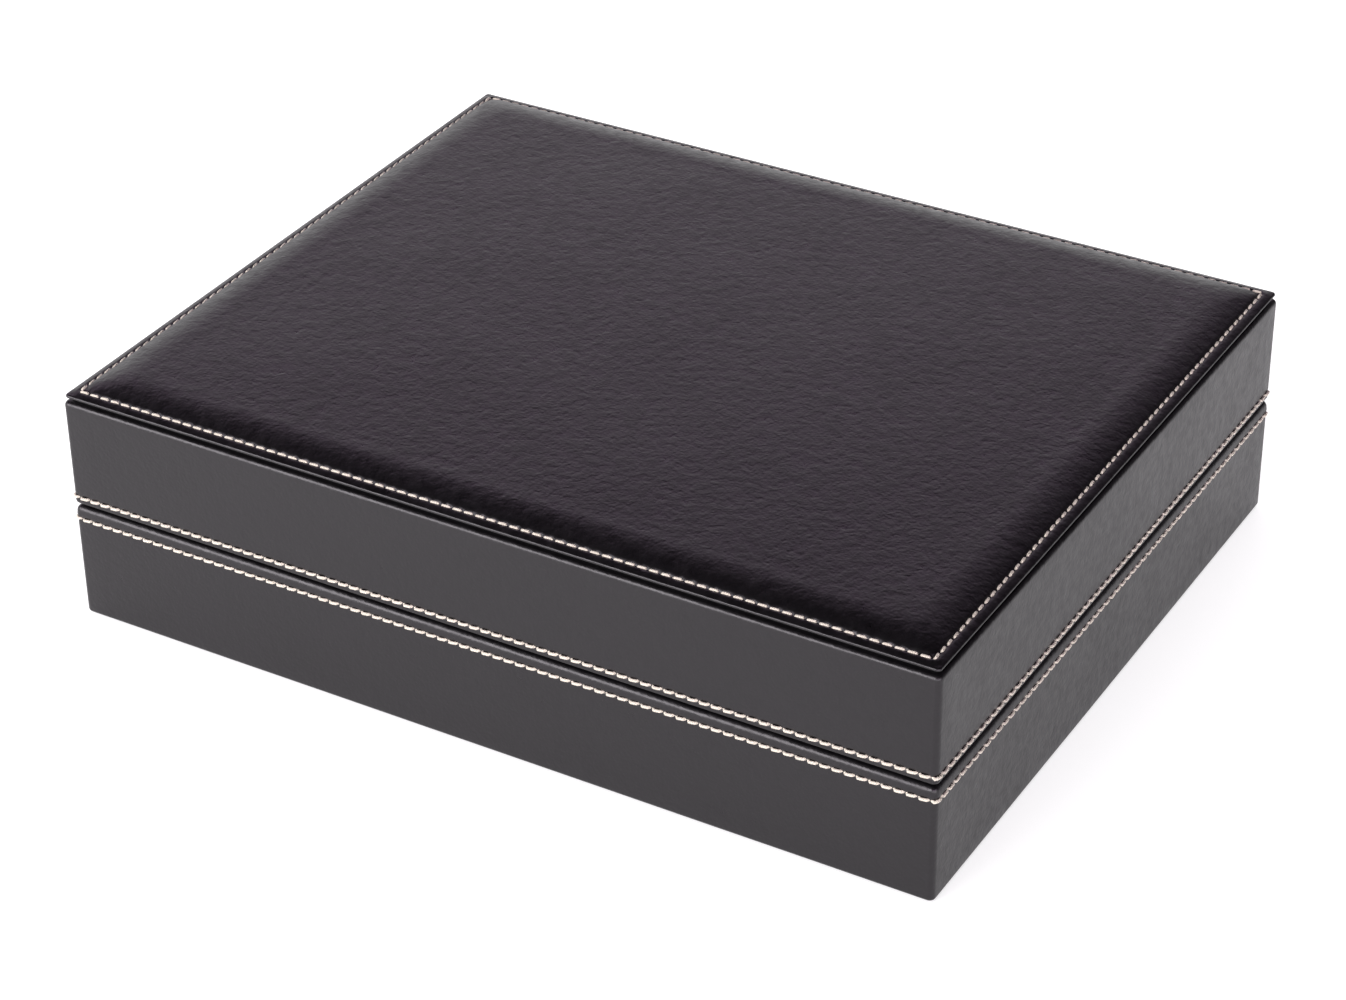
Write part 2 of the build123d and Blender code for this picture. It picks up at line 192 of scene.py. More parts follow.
class FinishSettings(bpy.types.PropertyGroup):
    leather: rgb("Colour of the leatherette", 0.0048, 0.0042, 0.0050)
    leather_sheen: rgb("Tint of the leatherette's highlights", 1.0, 0.95, 1.0)
    leather_roughness: number("Roughness of the leatherette's sheen", 0.34)
    grain_size: metres("Width of one pebble of the grain", 0.001)
    thread: rgb("Colour of the sewing thread", 0.66, 0.595, 0.505)
    velvet: rgb("Colour of the lining", 0.012, 0.011, 0.013)
    flock: rgb("Colour of the coin trays", 0.16, 0.008, 0.016)
    brass: rgb("Colour of the hinges", 0.78, 0.56, 0.25)
    felt: rgb("Colour of the underside", 0.018, 0.018, 0.020)


class StageSettings(bpy.types.PropertyGroup):
    floor_width: metres("Width of the pale floor", 9.0)
    floor_glow: number("Light that the white floor gives off itself", 0.86)
    floor_white: number("Glow that the floor adds towards the camera", 0.22)
    floor_shade: number("Part of the glow that is left right beside the case", 0.3)
    floor_reach: metres("How far from the case the floor's glow is shaded", 0.25)
    band_light: number("Brightness of the white walls around the stage", 1.0)
    dark_side: xyz(
        "Direction of the dark wall behind the case, to the right", 0.60, 0.77, 0.15, "DIRECTION")
    dark_side_width: degrees("Angle from the dark wall's middle to its end", 60)
    dark_side_light: number("Share of the light that comes from the dark wall", 0.12)
    fill_side: xyz(
        "Direction of the bright wall in front, to the right", 0.70, -0.65, 0.30, "DIRECTION")
    fill_side_width: degrees("Angle from the bright wall's middle to its end", 50)
    fill_side_light: number("How much brighter the bright wall is than the others", 3.4)
    soft_box_power: number("Power of the soft box in front, to the left", 31.0, unit="POWER")
    soft_box_width: metres("Width of the soft box", 1.6)
    soft_box_height: metres("Height of the soft box", 0.85)
    soft_box_place: xyz("Where the soft box hangs", -0.72, -1.35, 0.68)
    lens: number("Focal length of the camera in millimetres", 95.0)
    camera: xyz("Where the camera stands", 0.49381, -0.84536, 0.64449)
    camera_aim: xyz("Where the camera looks", 0.01079, -0.02567, 0.04)
    camera_roll: degrees("Turn of the camera about its line of sight", -0.694)


class CoinCaseSettings(bpy.types.PropertyGroup):
    skin: PointerProperty(type=SkinSettings)
    cover: PointerProperty(type=CoverSettings)
    padding: PointerProperty(type=PaddingSettings)
    seam: PointerProperty(type=SeamSettings)
    tray: PointerProperty(type=TraySettings)
    finish: PointerProperty(type=FinishSettings)
    stage: PointerProperty(type=StageSettings)


def settings():
    return bpy.context.scene.coin_case


# Materials

class NodeTree:
    """Short ways to add nodes to a tree and to link them."""

    def __init__(self, tree):
        self.tree = tree

    def feed(self, socket, value):
        """Links a socket to another node's, or gives it a plain value."""
        if isinstance(value, bpy.types.NodeSocket):
            self.tree.links.new(value, socket)
        else:
            socket.default_value = value

    def add(self, kind, inputs=None, **values):
        node = self.tree.nodes.new(kind)
        for key, value in values.items():
            setattr(node, key, value)
        for key, value in (inputs or {}).items():
            self.feed(node.inputs[key], value)
        return node

    def math(self, operation, first, second=0.0):
        return self.add("ShaderNodeMath", {0: first, 1: second}, operation=operation).outputs[0]

    def plus(self, first, second):
        return self.math("ADD", first, second)

    def minus(self, first, second):
        return self.math("SUBTRACT", first, second)

    def times(self, first, second):
        return self.math("MULTIPLY", first, second)

    def vector(self, operation, first, second=None, scale=None):
        inputs = {0: first}
        if second is not None:
            inputs[1] = second
        if scale is not None:
            inputs["Scale"] = scale
        node = self.add("ShaderNodeVectorMath", inputs, operation=operation)
        return node.outputs["Value" if operation == "DOT_PRODUCT" else "Vector"]

    def axis(self, vector, name):
        return self.add("ShaderNodeSeparateXYZ", {"Vector": vector}).outputs[name]

    def span(self, value, low=0.0, high=1.0, start=0.0, end=1.0, kind="LINEAR"):
        """Brings a value that runs from start to end to lie between low and high."""
        inputs = {"Value": value, "From Min": start, "From Max": end, "To Min": low, "To Max": high}
        return self.add("ShaderNodeMapRange", inputs, interpolation_type=kind).outputs["Result"]

    def mix(self, share, first, second):
        """A colour between two others; the sockets for colours are 6, 7 and 2."""
        return self.add("ShaderNodeMix", {0: share, 6: first, 7: second}, data_type="RGBA").outputs[2]


class Recipe(NodeTree):
    """A material's node tree."""

    def __init__(self, name):
        self.material = bpy.data.materials.new(name)
        self.material.use_nodes = True
        super().__init__(self.material.node_tree)

    def shade(self, **inputs):
        shader = self.tree.nodes["Principled BSDF"]
        for key, value in inputs.items():
            self.feed(shader.inputs[key.replace("_", " ")], value)
        return self.material

    def place(self, stretch=(1, 1, 1)):
        """Object coordinates, stretched."""
        coordinates = self.add("ShaderNodeTexCoord").outputs["Object"]
        return self.add("ShaderNodeMapping", {"Vector": coordinates, "Scale": stretch}).outputs["Vector"]

    def noise(self, scale, detail=2.0, distortion=0.0, stretch=(1, 1, 1), output="Fac"):
        place = self.place(stretch)
        inputs = {"Vector": place, "Scale": scale, "Detail": detail, "Distortion": distortion}
        return self.add("ShaderNodeTexNoise", inputs).outputs[output]

    def bump(self, height, distance, strength=1.0, under=None):
        inputs = {"Height": height, "Distance": distance, "Strength": strength}
        if under is not None:
            inputs["Normal"] = under
        return self.add("ShaderNodeBump", inputs).outputs["Normal"]

    def grained(self, grain, tone, roughness, distance, strength, **more):
        """Shades the material with a tone, and with a roughness and a relief that follow its grain."""
        relief = self.bump(grain, distance, strength)
        return self.shade(Base_Color=tone, Roughness=self.span(grain, *roughness), Normal=relief, **more)


def tinted(colour, factor):
    """A colour made lighter or darker."""
    return tuple(channel * factor for channel in colour[:3]) + (1.0,)


def leather_grain(recipe):
    """Pebbles with creases between them, and a mottle that is stronger on the cover."""
    dome_weight = 0.55
    crease_weight = 0.6
    place = recipe.place()
    warp = recipe.noise(scale=900.0, output="Color")
    warped = recipe.vector("ADD", place, recipe.vector("SCALE", warp, scale=0.0005))
    pebbles = recipe.add(
        "ShaderNodeTexVoronoi",
        {"Vector": warped, "Scale": 1 / settings().finish.grain_size},
        feature="SMOOTH_F1",
    )
    dome = recipe.minus(1.0, pebbles.outputs["Distance"])
    creases = recipe.noise(scale=420.0, detail=4.0, distortion=0.8)
    mottle = recipe.noise(scale=300.0, distortion=0.3)
    on_cover = recipe.math("GREATER_THAN", recipe.axis(place, "Z"), LID_HIGH.z)
    mottle_weight = recipe.span(on_cover, low=1.0, high=1.9)
    grain = recipe.plus(recipe.times(dome, dome_weight), recipe.times(creases, crease_weight))
    return recipe.plus(grain, recipe.times(mottle, mottle_weight)), dome, mottle


def seam_puckers(recipe):
    """Puckers between the needle holes, and where the holes lie, for the painted shade in them; the seam's
    UV map counts stitches and millimetres.
    """
    pucker_falloff = -1.8
    hole_falloff = -9.0
    hole_edge = 0.72
    seam = recipe.add("ShaderNodeUVMap", uv_map="seam").outputs["UV"]
    away = recipe.axis(seam, "Y")
    away = recipe.times(away, away)
    wave = recipe.math("COSINE", recipe.times(recipe.axis(seam, "X"), 2 * math.pi))
    pull = recipe.times(wave, recipe.math("EXPONENT", recipe.times(away, pucker_falloff)))
    near_hole = recipe.math("EXPONENT", recipe.times(away, hole_falloff))
    return pull, recipe.times(near_hole, recipe.math("GREATER_THAN", wave, hole_edge))


def leatherette():
    """Charcoal leatherette: fine pebbled grain, a satin sheen, and puckers between the needle holes, with
    painted shade in the grain's hollows and in the needle holes.
    """
    finish = settings().finish
    recipe = Recipe("charcoal_leatherette")
    grain, dome, mottle = leather_grain(recipe)
    pull, painted_hole_shade = seam_puckers(recipe)
    puckers = recipe.bump(pull, distance=0.0001, strength=0.8)
    cloudy = recipe.noise(scale=55.0, detail=3.0)
    colour = recipe.mix(cloudy, tinted(finish.leather, 0.8), tinted(finish.leather, 1.2))
    # Painted shade: the colour darkens in the hollows between the grain's pebbles
    colour = recipe.mix(recipe.span(dome, 0.0, 0.5), tinted(finish.leather, 0.3), colour)
    # Painted shade in the needle holes
    colour = recipe.mix(painted_hole_shade, colour, tinted(finish.leather, 0.25))
    gloss = recipe.plus(recipe.span(mottle, -0.12, 0.12), recipe.span(cloudy, -0.04, 0.04))
    return recipe.shade(
        Base_Color=colour,
        Roughness=recipe.plus(gloss, finish.leather_roughness),
        Specular_Tint=tuple(finish.leather_sheen),
        Normal=recipe.bump(grain, distance=0.00018, strength=0.55, under=puckers),
    )


def thread_finish():
    """Twisted ivory thread, with painted shade in the grooves between its plies."""
    ply_length = 0.00065
    finish = settings().finish
    recipe = Recipe("ivory_thread")
    ply = recipe.add("ShaderNodeAttribute", attribute_name="ply").outputs["Fac"]
    twist = recipe.math("SINE", recipe.times(ply, 2 * math.pi / ply_length))
    fuzz = recipe.noise(scale=5200.0)
    patches = recipe.noise(scale=160.0)
    colour = recipe.mix(patches, tinted(finish.thread, 0.84), tinted(finish.thread, 1.1))
    loose_fibres = recipe.bump(fuzz, distance=0.00004, strength=0.5)
    return recipe.shade(
        # Painted shade: the colour darkens along the grooves of the twist
        Base_Color=recipe.mix(recipe.span(twist, 0.0, 0.22), colour, tinted(finish.thread, 0.45)),
        Roughness=0.62,
        Sheen_Weight=0.25,
        Sheen_Roughness=0.4,
        Normal=recipe.bump(twist, distance=0.00008, strength=0.7, under=loose_fibres),
    )


def pile(name, colour, fibre_scale, sheen):
    """Velvet or flock: short pile, brushed in soft patches, with the patches' sheen painted into the colour.
    """
    tufts_in_fibres = 3
    sheen_lift = 6.0
    recipe = Recipe(name)
    fibres = recipe.noise(fibre_scale)
    tufts = recipe.noise(fibre_scale / tufts_in_fibres, detail=3.0, distortion=0.8)
    brushed = recipe.noise(scale=34.0, detail=3.0, distortion=1.4, stretch=(1.0, 0.45, 1.0))
    nap = recipe.bump(brushed, distance=0.002, strength=0.5)
    nap = recipe.bump(tufts, distance=0.0004, strength=0.6, under=nap)
    # Painted sheen: brushed patches are coloured lighter and darker
    tone = recipe.mix(brushed, tinted(colour, 0.55), tinted(colour, 1.5))
    tone = recipe.mix(recipe.span(tufts, -0.25, 0.75), tone, tinted(colour, 0.3))
    tone = recipe.mix(recipe.span(fibres, -0.15, 0.4), tone, tinted(colour, 0.35))
    return recipe.shade(
        Base_Color=tone,
        Roughness=recipe.span(brushed, 0.86, 0.98),
        Sheen_Weight=sheen,
        Sheen_Roughness=0.35,
        Sheen_Tint=tinted(colour, sheen_lift / max(1.0, sheen_lift * max(colour[:3]))),
        Normal=recipe.bump(fibres, distance=0.00025, strength=0.55, under=nap),
    )


def brass_finish():
    """Brushed brass with faint lengthwise scratches."""
    brass = settings().finish.brass
    recipe = Recipe("brushed_brass")
    brushing = recipe.noise(scale=300.0, detail=3.0, stretch=(1.0, 26.0, 26.0))
    smudges = recipe.noise(scale=210.0, detail=3.0, distortion=0.8)
    return recipe.shade(
        Base_Color=recipe.mix(smudges, tinted(brass, 0.82), tinted(brass, 1.06)),
        Metallic=1.0,
        Roughness=recipe.plus(recipe.span(smudges, 0.16, 0.30), recipe.span(brushing, -0.04, 0.06)),
        Normal=recipe.bump(brushing, distance=0.00004, strength=0.4),
    )


def plated_steel():
    """Nickel-plated steel with smudges."""
    dull = (0.52, 0.52, 0.54, 1)
    bright = (0.66, 0.66, 0.68, 1)
    recipe = Recipe("plated_steel")
    smudges = recipe.noise(scale=260.0, detail=3.0)
    tone = recipe.mix(smudges, dull, bright)
    return recipe.grained(smudges, tone, (0.18, 0.32), distance=0.00003, strength=0.3, Metallic=1.0)


def fibreboard():
    """Raw fibreboard: pale and dark fibres pressed flat."""
    dark_wood = (0.30, 0.20, 0.115, 1)
    pale_wood = (0.40, 0.275, 0.165, 1)
    dark_fibre = (0.20, 0.125, 0.07, 1)
    recipe = Recipe("fibreboard")
    fibres = recipe.noise(scale=900.0, detail=4.0, distortion=0.8, stretch=(1.0, 1.0, 2.2))
    clouds = recipe.noise(scale=60.0, detail=3.0)
    tone = recipe.mix(recipe.span(fibres, 0.0, 0.8), recipe.mix(clouds, dark_wood, pale_wood), dark_fibre)
    return recipe.grained(fibres, tone, (0.78, 0.94), distance=0.0002, strength=0.4)


def black_card():
    """Matt black card."""
    black = (0.006, 0.006, 0.007, 1)
    greyer = (0.014, 0.014, 0.015, 1)
    recipe = Recipe("black_card")
    fibres = recipe.noise(scale=1500.0, detail=3.0, distortion=0.5)
    tone = recipe.mix(fibres, black, greyer)
    return recipe.grained(fibres, tone, (0.82, 0.95), distance=0.0001, strength=0.35)


def felt_finish():
    """Pressed felt with matted fibres."""
    felt = settings().finish.felt
    recipe = Recipe("pressed_felt")
    fibres = recipe.noise(scale=1300.0, detail=5.0, distortion=2.2)
    mats = recipe.noise(scale=120.0, detail=3.0, distortion=0.6)
    tone = recipe.mix(mats, tinted(felt, 0.7), tinted(felt, 1.5))
    tone = recipe.mix(recipe.span(fibres, 0.0, 0.5), tone, tinted(felt, 3.0))
    nap = {"distance": 0.0004, "strength": 0.6, "Sheen_Weight": 0.35, "Sheen_Roughness": 0.5}
    return recipe.grained(fibres, tone, (0.88, 0.99), **nap)


FINISHES = {
    "leatherette": leatherette,
    "stitch_thread": thread_finish,
    "velvet_lining": lambda: pile("black_velvet", settings().finish.velvet, fibre_scale=2600.0, sheen=0.55),
    "tray_flock": lambda: pile("wine_flock", settings().finish.flock, fibre_scale=2100.0, sheen=0.65),
    "hinge_brass": brass_finish,
    "magnet_steel": plated_steel,
    "case_board": fibreboard,
    "black_card": black_card,
    "underside_felt": felt_finish,
}
made_finishes = {}


def finish_for(slot):
    """The material of one slot, made once."""
    if slot not in made_finishes:
        made_finishes[slot] = FINISHES[slot]()
    return made_finishes[slot]


def wear(mesh, slot):
    """Gives a mesh its slot's finish."""
    mesh.materials.clear()
    mesh.materials.append(finish_for(slot))


# Meshes

def add_object(name, data):
    """A new object in the scene."""
    added = bpy.data.objects.new(name, data)
    bpy.context.scene.collection.objects.link(added)
    return added


def add_piece(name, mesh, body, slot, stands_for=()):
    """A finished piece: it rides on its body and stands for the CAD nodes that it covers."""
    wear(mesh, slot)
    piece = add_object(name, mesh)
    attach(piece, body)
    if stands_for:
        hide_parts(*stands_for)
    return piece


def smooth_mesh(body, name):
    """The mesh of a bmesh, shaded smooth up to its sharp edges."""
    for face in body.faces:
        face.smooth = True
    bmesh.ops.recalc_face_normals(body, faces=body.faces)
    mesh = bpy.data.meshes.new(name)
    body.to_mesh(mesh)
    body.free()
    mesh.set_sharp_from_angle(angle=SHARP_ANGLE)
    return mesh


def arc_rows(centre, radius, start, end, steps):
    """Points of an arc in a section; angles in degrees."""
    rows = []
    for step in range(steps + 1):
        turn = math.radians(start + (end - start) * step / steps)
        rows.append((centre[0] + radius * math.cos(turn), centre[1] + radius * math.sin(turn)))
    return rows


def graded(low, high, focus, finest, growth, coarsest):
    """Places from low to high, closest together at the focus."""
    places = [low]
    while places[-1] < high:
        step = min(coarsest, finest + growth * abs(places[-1] - focus))
        places.append(places[-1] + step)
    stretch = (high - low) / (places[-1] - low)
    return [low + (place - low) * stretch for place in places]


def both_ways(half, focus, finest, growth, coarsest):
    """Grid lines over a panel, closest together at the seams on both sides."""
    insets = graded(0.0, half, focus, finest, growth, coarsest)
    return [inset - half for inset in insets] + [half - inset for inset in reversed(insets[:-1])]


def rounded_columns(half_x, half_y, radius, corner_steps=7, spacing=0.007):
    """Columns around a rounded rectangle, counterclockwise, and the length around it.

    A column is a place on the rectangle of the corners' centres, the direction outwards and the arc length.
    """
    quarter = math.radians(90)
    columns = []
    length = 0.0
    corners = ((1, -1, 270), (1, 1, 0), (-1, 1, 90), (-1, -1, 180))
    for index, (sign_x, sign_y, start) in enumerate(corners):
        centre = Vector((sign_x * (half_x - radius), sign_y * (half_y - radius)))
        for step in range(corner_steps + 1):
            turn = math.radians(start + 90 * step / corner_steps)
            normal = Vector((math.cos(turn), math.sin(turn)))
            columns.append((centre.copy(), normal, length + radius * quarter * step / corner_steps))
        length += radius * quarter
        next_x, next_y, _ = corners[(index + 1) % 4]
        following = Vector((next_x * (half_x - radius), next_y * (half_y - radius)))
        run = (following - centre).length
        count = max(1, round(run / spacing))
        for step in range(1, count):
            columns.append((centre.lerp(following, step / count), normal, length + run * step / count))
        length += run
    return columns, length


def column_point(column, inset, half_x, half_y, radius, least_radius=0.00012):
    """Where a column meets an outline that lies inset inside the outer one."""
    centre, normal, _ = column
    bend = max(radius - inset, least_radius)
    core_x = half_x - inset - bend
    core_y = half_y - inset - bend
    x = centre.x * core_x / (half_x - radius) + normal.x * bend
    y = centre.y * core_y / (half_y - radius) + normal.y * bend
    return x, y


def stitch_count(length):
    return round(length / settings().seam.pitch)


def skin_grid(body, columns, half_x, half_y, profile):
    """A section's points at every column; the outer face sways a little."""
    outer_face_depth = 0.0004
    skin = settings().skin
    grid = []
    for column in columns:
        row = []
        for inset, level in profile:
            point = Vector((*column_point(column, inset, half_x, half_y, skin.corner_radius), level))
            if inset < outer_face_depth:
                point += column[1].to_3d() * noise.noise(point * skin.waves) * skin.waviness
            row.append(body.verts.new(point))
        grid.append(row)
    return grid


def skin_mesh(name, half_x, half_y, profile, seam_level):
    """A closed skin: the section swept around the case, with a UV map that counts stitches along it."""
    seam_reach = 0.004
    far_from_seam = 9.0
    columns, length = rounded_columns(half_x, half_y, settings().skin.corner_radius)
    stitches = stitch_count(length)
    body = bmesh.new()
    seam_map = body.loops.layers.uv.new("seam")
    grid = skin_grid(body, columns, half_x, half_y, profile)
    for place, row in enumerate(grid):
        following = grid[(place + 1) % len(grid)]
        start = columns[place][2]
        end = columns[place + 1][2] if place + 1 < len(columns) else length
        for below, (inset, _) in enumerate(profile):
            over = (below + 1) % len(profile)
            face = body.faces.new((row[below], following[below], following[over], row[over]))
            for loop, along in zip(face.loops, (start, end, end, start)):
                level = loop.vert.co.z if inset < seam_reach else far_from_seam
                loop[seam_map].uv = (along / length * stitches, (level - seam_level) * MILLIMETRES)
    return smooth_mesh(body, name)


def wall_rows(low, high, seam_level, band_edge):
    """The outer wall's section: a dip along the seam and a slightly raised band up to the rim."""
    skin = settings().skin
    rows = []
    for level in graded(low, high, seam_level, finest=0.00016, growth=0.16, coarsest=0.004):
        dip = skin.groove_depth * math.exp(-((level - seam_level) / skin.groove_width) ** 2)
        share = (level - seam_level) / (band_edge - seam_level)
        swell = skin.band_swell * math.sin(math.pi * share) if 0 < share < 1 else 0.0
        rows.append((dip - swell, level))
    return rows


def base_profile():
    """The base skin's section: up the wall, over the rim, down inside and back within the wall."""
    skin = settings().skin
    low = BASE_LOW.z
    high = BASE_HIGH.z
    thickness = skin.thickness
    wall = skin.base_wall
    rim_start = high - skin.rim_radius
    inner_end = high - thickness - skin.turn_in
    rows = arc_rows((skin.foot_radius, low + skin.foot_radius), skin.foot_radius, 270, 180, steps=6)
    rows += wall_rows(low + skin.foot_radius, rim_start, settings().seam.base_level, rim_start)[1:-1]
    rows += arc_rows((skin.rim_radius, rim_start), skin.rim_radius, 180, 90, steps=8)
    rows += arc_rows((wall - thickness, high - thickness), thickness, 90, 0, steps=5)
    rows += [(wall, inner_end), (wall - thickness, inner_end), (wall - thickness, high - thickness)]
    rows += [(thickness, high - thickness), (thickness, low + thickness)]
    rows += [(skin.turn_under, low + thickness), (skin.turn_under, low)]
    return rows


def lid_profile():
    """The lid skin's section: up the wall, over the top, back within the wall and up inside."""
    skin = settings().skin
    low = LID_LOW.z
    high = LID_HIGH.z
    thickness = skin.thickness
    wall = skin.lid_wall
    rim = skin.lid_top_radius
    low_rim = skin.lid_rim_radius
    inner_end = low + thickness + skin.turn_in
    rows = arc_rows((low_rim, low + low_rim), low_rim, 270, 180, steps=8)
    rows += wall_rows(low + low_rim, high - rim, settings().seam.lid_level, low + low_rim)[1:-1]
    rows += arc_rows((rim, high - rim), rim, 180, 90, steps=8)
    rows += [(skin.turn_under, high), (skin.turn_under, high - thickness), (thickness, high - thickness)]
    rows += [(thickness, low + thickness), (wall - thickness, low + thickness)]
    rows += [(wall - thickness, inner_end), (wall, inner_end)]
    rows += arc_rows((wall - thickness, low + thickness), thickness, 0, -90, steps=5)
    return rows


def roll_height(inside):
    """Height of the padding at a distance inside its seam."""
    cover = settings().cover
    start = math.sin(cover.start_angle)
    end = math.sin(cover.end_angle)
    shoulder = cover.shoulder_radius * (start - end)
    rise = cover.shoulder_radius * (math.cos(cover.end_angle) - math.cos(cover.start_angle))
    sweep = (cover.roll_width - shoulder) / end
    if inside <= 0:
        return 0.0
    if inside < shoulder:
        slope = math.asin(start - inside / cover.shoulder_radius)
        return cover.shoulder_radius * (math.cos(slope) - math.cos(cover.start_angle))
    if inside < cover.roll_width:
        slope = math.asin((cover.roll_width - inside) / sweep)
        return rise + sweep * (math.cos(slope) - math.cos(cover.end_angle))
    return rise + sweep * (1 - math.cos(cover.end_angle))


def smooth_least(first, second, rounding):
    """The smaller of two values, with a rounded change from one to the other."""
    share = max(rounding - abs(first - second), 0.0) / rounding
    return min(first, second) - share * share * rounding / 4


def inset_of(x, y, half_x, half_y, radius):
    """Distance inside a rounded rectangle's outline."""
    from_x = half_x - abs(x)
    from_y = half_y - abs(y)
    if from_x < radius and from_y < radius:
        return radius - math.hypot(radius - from_x, radius - from_y)
    return min(from_x, from_y)


def round_corner(x, y, half_x, half_y, radius):
    """Moves a point of the square corner region to the rounded corner."""
    across = (abs(x) - (half_x - radius)) / radius
    along = (abs(y) - (half_y - radius)) / radius
    if across <= 0 or along <= 0:
        return x, y
    reach = max(across, along)
    turn = math.pi / 4 * (along / across if along < across else 2 - across / along)
    return (
        math.copysign(half_x - radius + radius * reach * math.cos(turn), x),
        math.copysign(half_y - radius + radius * reach * math.sin(turn), y),
    )


def edge_fold(bed, border_slope, steps=10):
    """The cover's rounded edge and the fold under it: how far out and how far down each ring lies."""
    cover = settings().cover
    rings = []
    for step in range(1, steps + 1):
        turn = border_slope + (math.pi - border_slope) * step / steps
        outset = cover.edge_radius * (math.sin(turn) - math.sin(border_slope))
        rings.append((outset, cover.edge_radius * (math.cos(border_slope) - math.cos(turn))))
    rings.append((rings[-1][0] - cover.fold_width, bed - cover.border_drop - COVER_LOW.z))
    return rings


def around_place(x, y, half_x, half_y):
    """Arc length around a rectangle of the point that lies nearest on it."""
    gap_x = half_x - abs(x)
    gap_y = half_y - abs(y)
    if gap_x < gap_y:
        return half_y + y if x > 0 else 3 * half_y + 2 * half_x - y
    return 2 * half_y + half_x - x if y > 0 else 4 * half_y + 3 * half_x + x


def panel_grid(body, lines_x, lines_y, place_of):
    """Adds a panel's grid and returns its border, counterclockwise."""
    grid = [[body.verts.new(place_of(x, y)) for y in lines_y] for x in lines_x]
    last_x = len(lines_x) - 1
    last_y = len(lines_y) - 1
    for i in range(last_x):
        for j in range(last_y):
            body.faces.new((grid[i][j], grid[i + 1][j], grid[i + 1][j + 1], grid[i][j + 1]))
    border = [grid[i][0] for i in range(last_x)] + [grid[last_x][j] for j in range(last_y)]
    border += [grid[i][last_y] for i in range(last_x, 0, -1)] + [grid[0][j] for j in range(last_y, 0, -1)]
    return border


def join_rings(body, upper, lower):
    for place in range(len(upper)):
        after = (place + 1) % len(upper)
        body.faces.new((upper[place], upper[after], lower[after], lower[place]))


def add_skirt(body, border, skirt, sign):
    """Adds a panel's edge, ring by ring, and closes its back."""
    normals = []
    for place in range(len(border)):
        tangent = border[(place + 1) % len(border)].co - border[place - 1].co
        normals.append(Vector((tangent.y, -tangent.x, 0)).normalized())
    ring = border
    for outset, drop in skirt:
        following = [
            body.verts.new(vertex.co + normal * outset - Vector((0, 0, sign * drop)))
            for vertex, normal in zip(border, normals)
        ]
        join_rings(body, ring, following)
        ring = following
    body.faces.new(ring)


def map_seam(body, seam_map, half_x, half_y):
    """Counts stitches along a panel's seam and millimetres away from it, in a UV map."""
    corner_radius = 0.001
    length = 4 * (half_x + half_y)
    for face in body.faces:
        for loop in face.loops:
            point = loop.vert.co
            along = around_place(point.x, point.y, half_x, half_y)
            away = inset_of(point.x, point.y, half_x, half_y, corner_radius)
            loop[seam_map].uv = (along / length * stitch_count(length), away * MILLIMETRES)


def panel_mesh(name, half_x, half_y, radius, spacing, height_at, skirt, upward, seam_half=None):
    """A padded panel: a graded top grid, rounded at the corners, with a rolled edge and a flat back."""
    body = bmesh.new()
    seam_map = body.loops.layers.uv.new("seam")

    def place_of(x, y):
        place = round_corner(x, y, half_x, half_y, radius)
        return (*place, height_at(*place))

    border = panel_grid(body, both_ways(half_x, **spacing), both_ways(half_y, **spacing), place_of)
    add_skirt(body, border, skirt, 1 if upward else -1)
    if seam_half:
        map_seam(body, seam_map, *seam_half)
    return smooth_mesh(body, name)


# Swelling of the padding

def cloth_sheet(half_x, half_y, columns, rows, height_at, upward):
    """A cloth in the shape of a padded field, with its rim in the group named held."""
    places = [
        (half_x * (2 * column / columns - 1), half_y * (2 * row / rows - 1))
        for column in range(columns + 1)
        for row in range(rows + 1)
    ]
    faces = []
    for column in range(columns):
        for row in range(rows):
            corner = column * (rows + 1) + row
            face = (corner, corner + rows + 1, corner + rows + 2, corner + 1)
            faces.append(face if upward else face[::-1])
    mesh = bpy.data.meshes.new("cloth")
    mesh.from_pydata([(x, y, height_at(x, y)) for x, y in places], [], faces)
    cloth = add_object("cloth", mesh)
    half_cell = settings().padding.cell / 2
    rim = [
        place for place, (x, y) in enumerate(places)
        if half_x - abs(x) < half_cell or half_y - abs(y) < half_cell
    ]
    cloth.vertex_groups.new(name="held").add(rim, 1.0, "REPLACE")
    return cloth


def risen_heights(cloth):
    """Presses a cloth out, removes it and says how far each of its points rose."""
    padding = settings().padding
    scene = bpy.context.scene
    modifier = cloth.modifiers.new("Cloth", "CLOTH")
    modifier.settings.vertex_group_mass = "held"
    modifier.settings.use_pressure = True
    modifier.settings.uniform_pressure_force = padding.pressure
    modifier.settings.effector_weights.gravity = 0
    modifier.collision_settings.use_collision = False
    modifier.point_cache.frame_start = 1
    modifier.point_cache.frame_end = padding.frames
    for frame_number in range(1, padding.frames + 1):
        scene.frame_set(frame_number)
    after = cloth.evaluated_get(bpy.context.evaluated_depsgraph_get()).data.vertices
    risen = [abs(end.co.z - start.co.z) for end, start in zip(after, cloth.data.vertices)]
    cloth.modifiers.remove(modifier)
    bpy.data.objects.remove(cloth)
    scene.frame_set(1)
    return risen


def swollen(half_x, half_y, laid_height, upward, reach):
    padding = settings().padding
    columns = round(2 * half_x / padding.cell)
    rows = round(2 * half_y / padding.cell)
    risen = risen_heights(cloth_sheet(half_x, half_y, columns, rows, laid_height, upward))
    scale = reach / max(risen) * (1 if upward else -1)

    def height_at(x, y):
        across = (min(max(x / half_x, -1.0), 1.0) + 1) / 2 * columns
        along = (min(max(y / half_y, -1.0), 1.0) + 1) / 2 * rows
        column = min(int(across), columns - 1)
        row = min(int(along), rows - 1)
        across -= column
        along -= row
        corner = column * (rows + 1) + row
        near = risen[corner] * (1 - along) + risen[corner + 1] * along
        far = risen[corner + rows + 1] * (1 - along) + risen[corner + rows + 2] * along
        return laid_height(x, y) + (near * (1 - across) + far * across) * scale

    return height_at


# Stitches

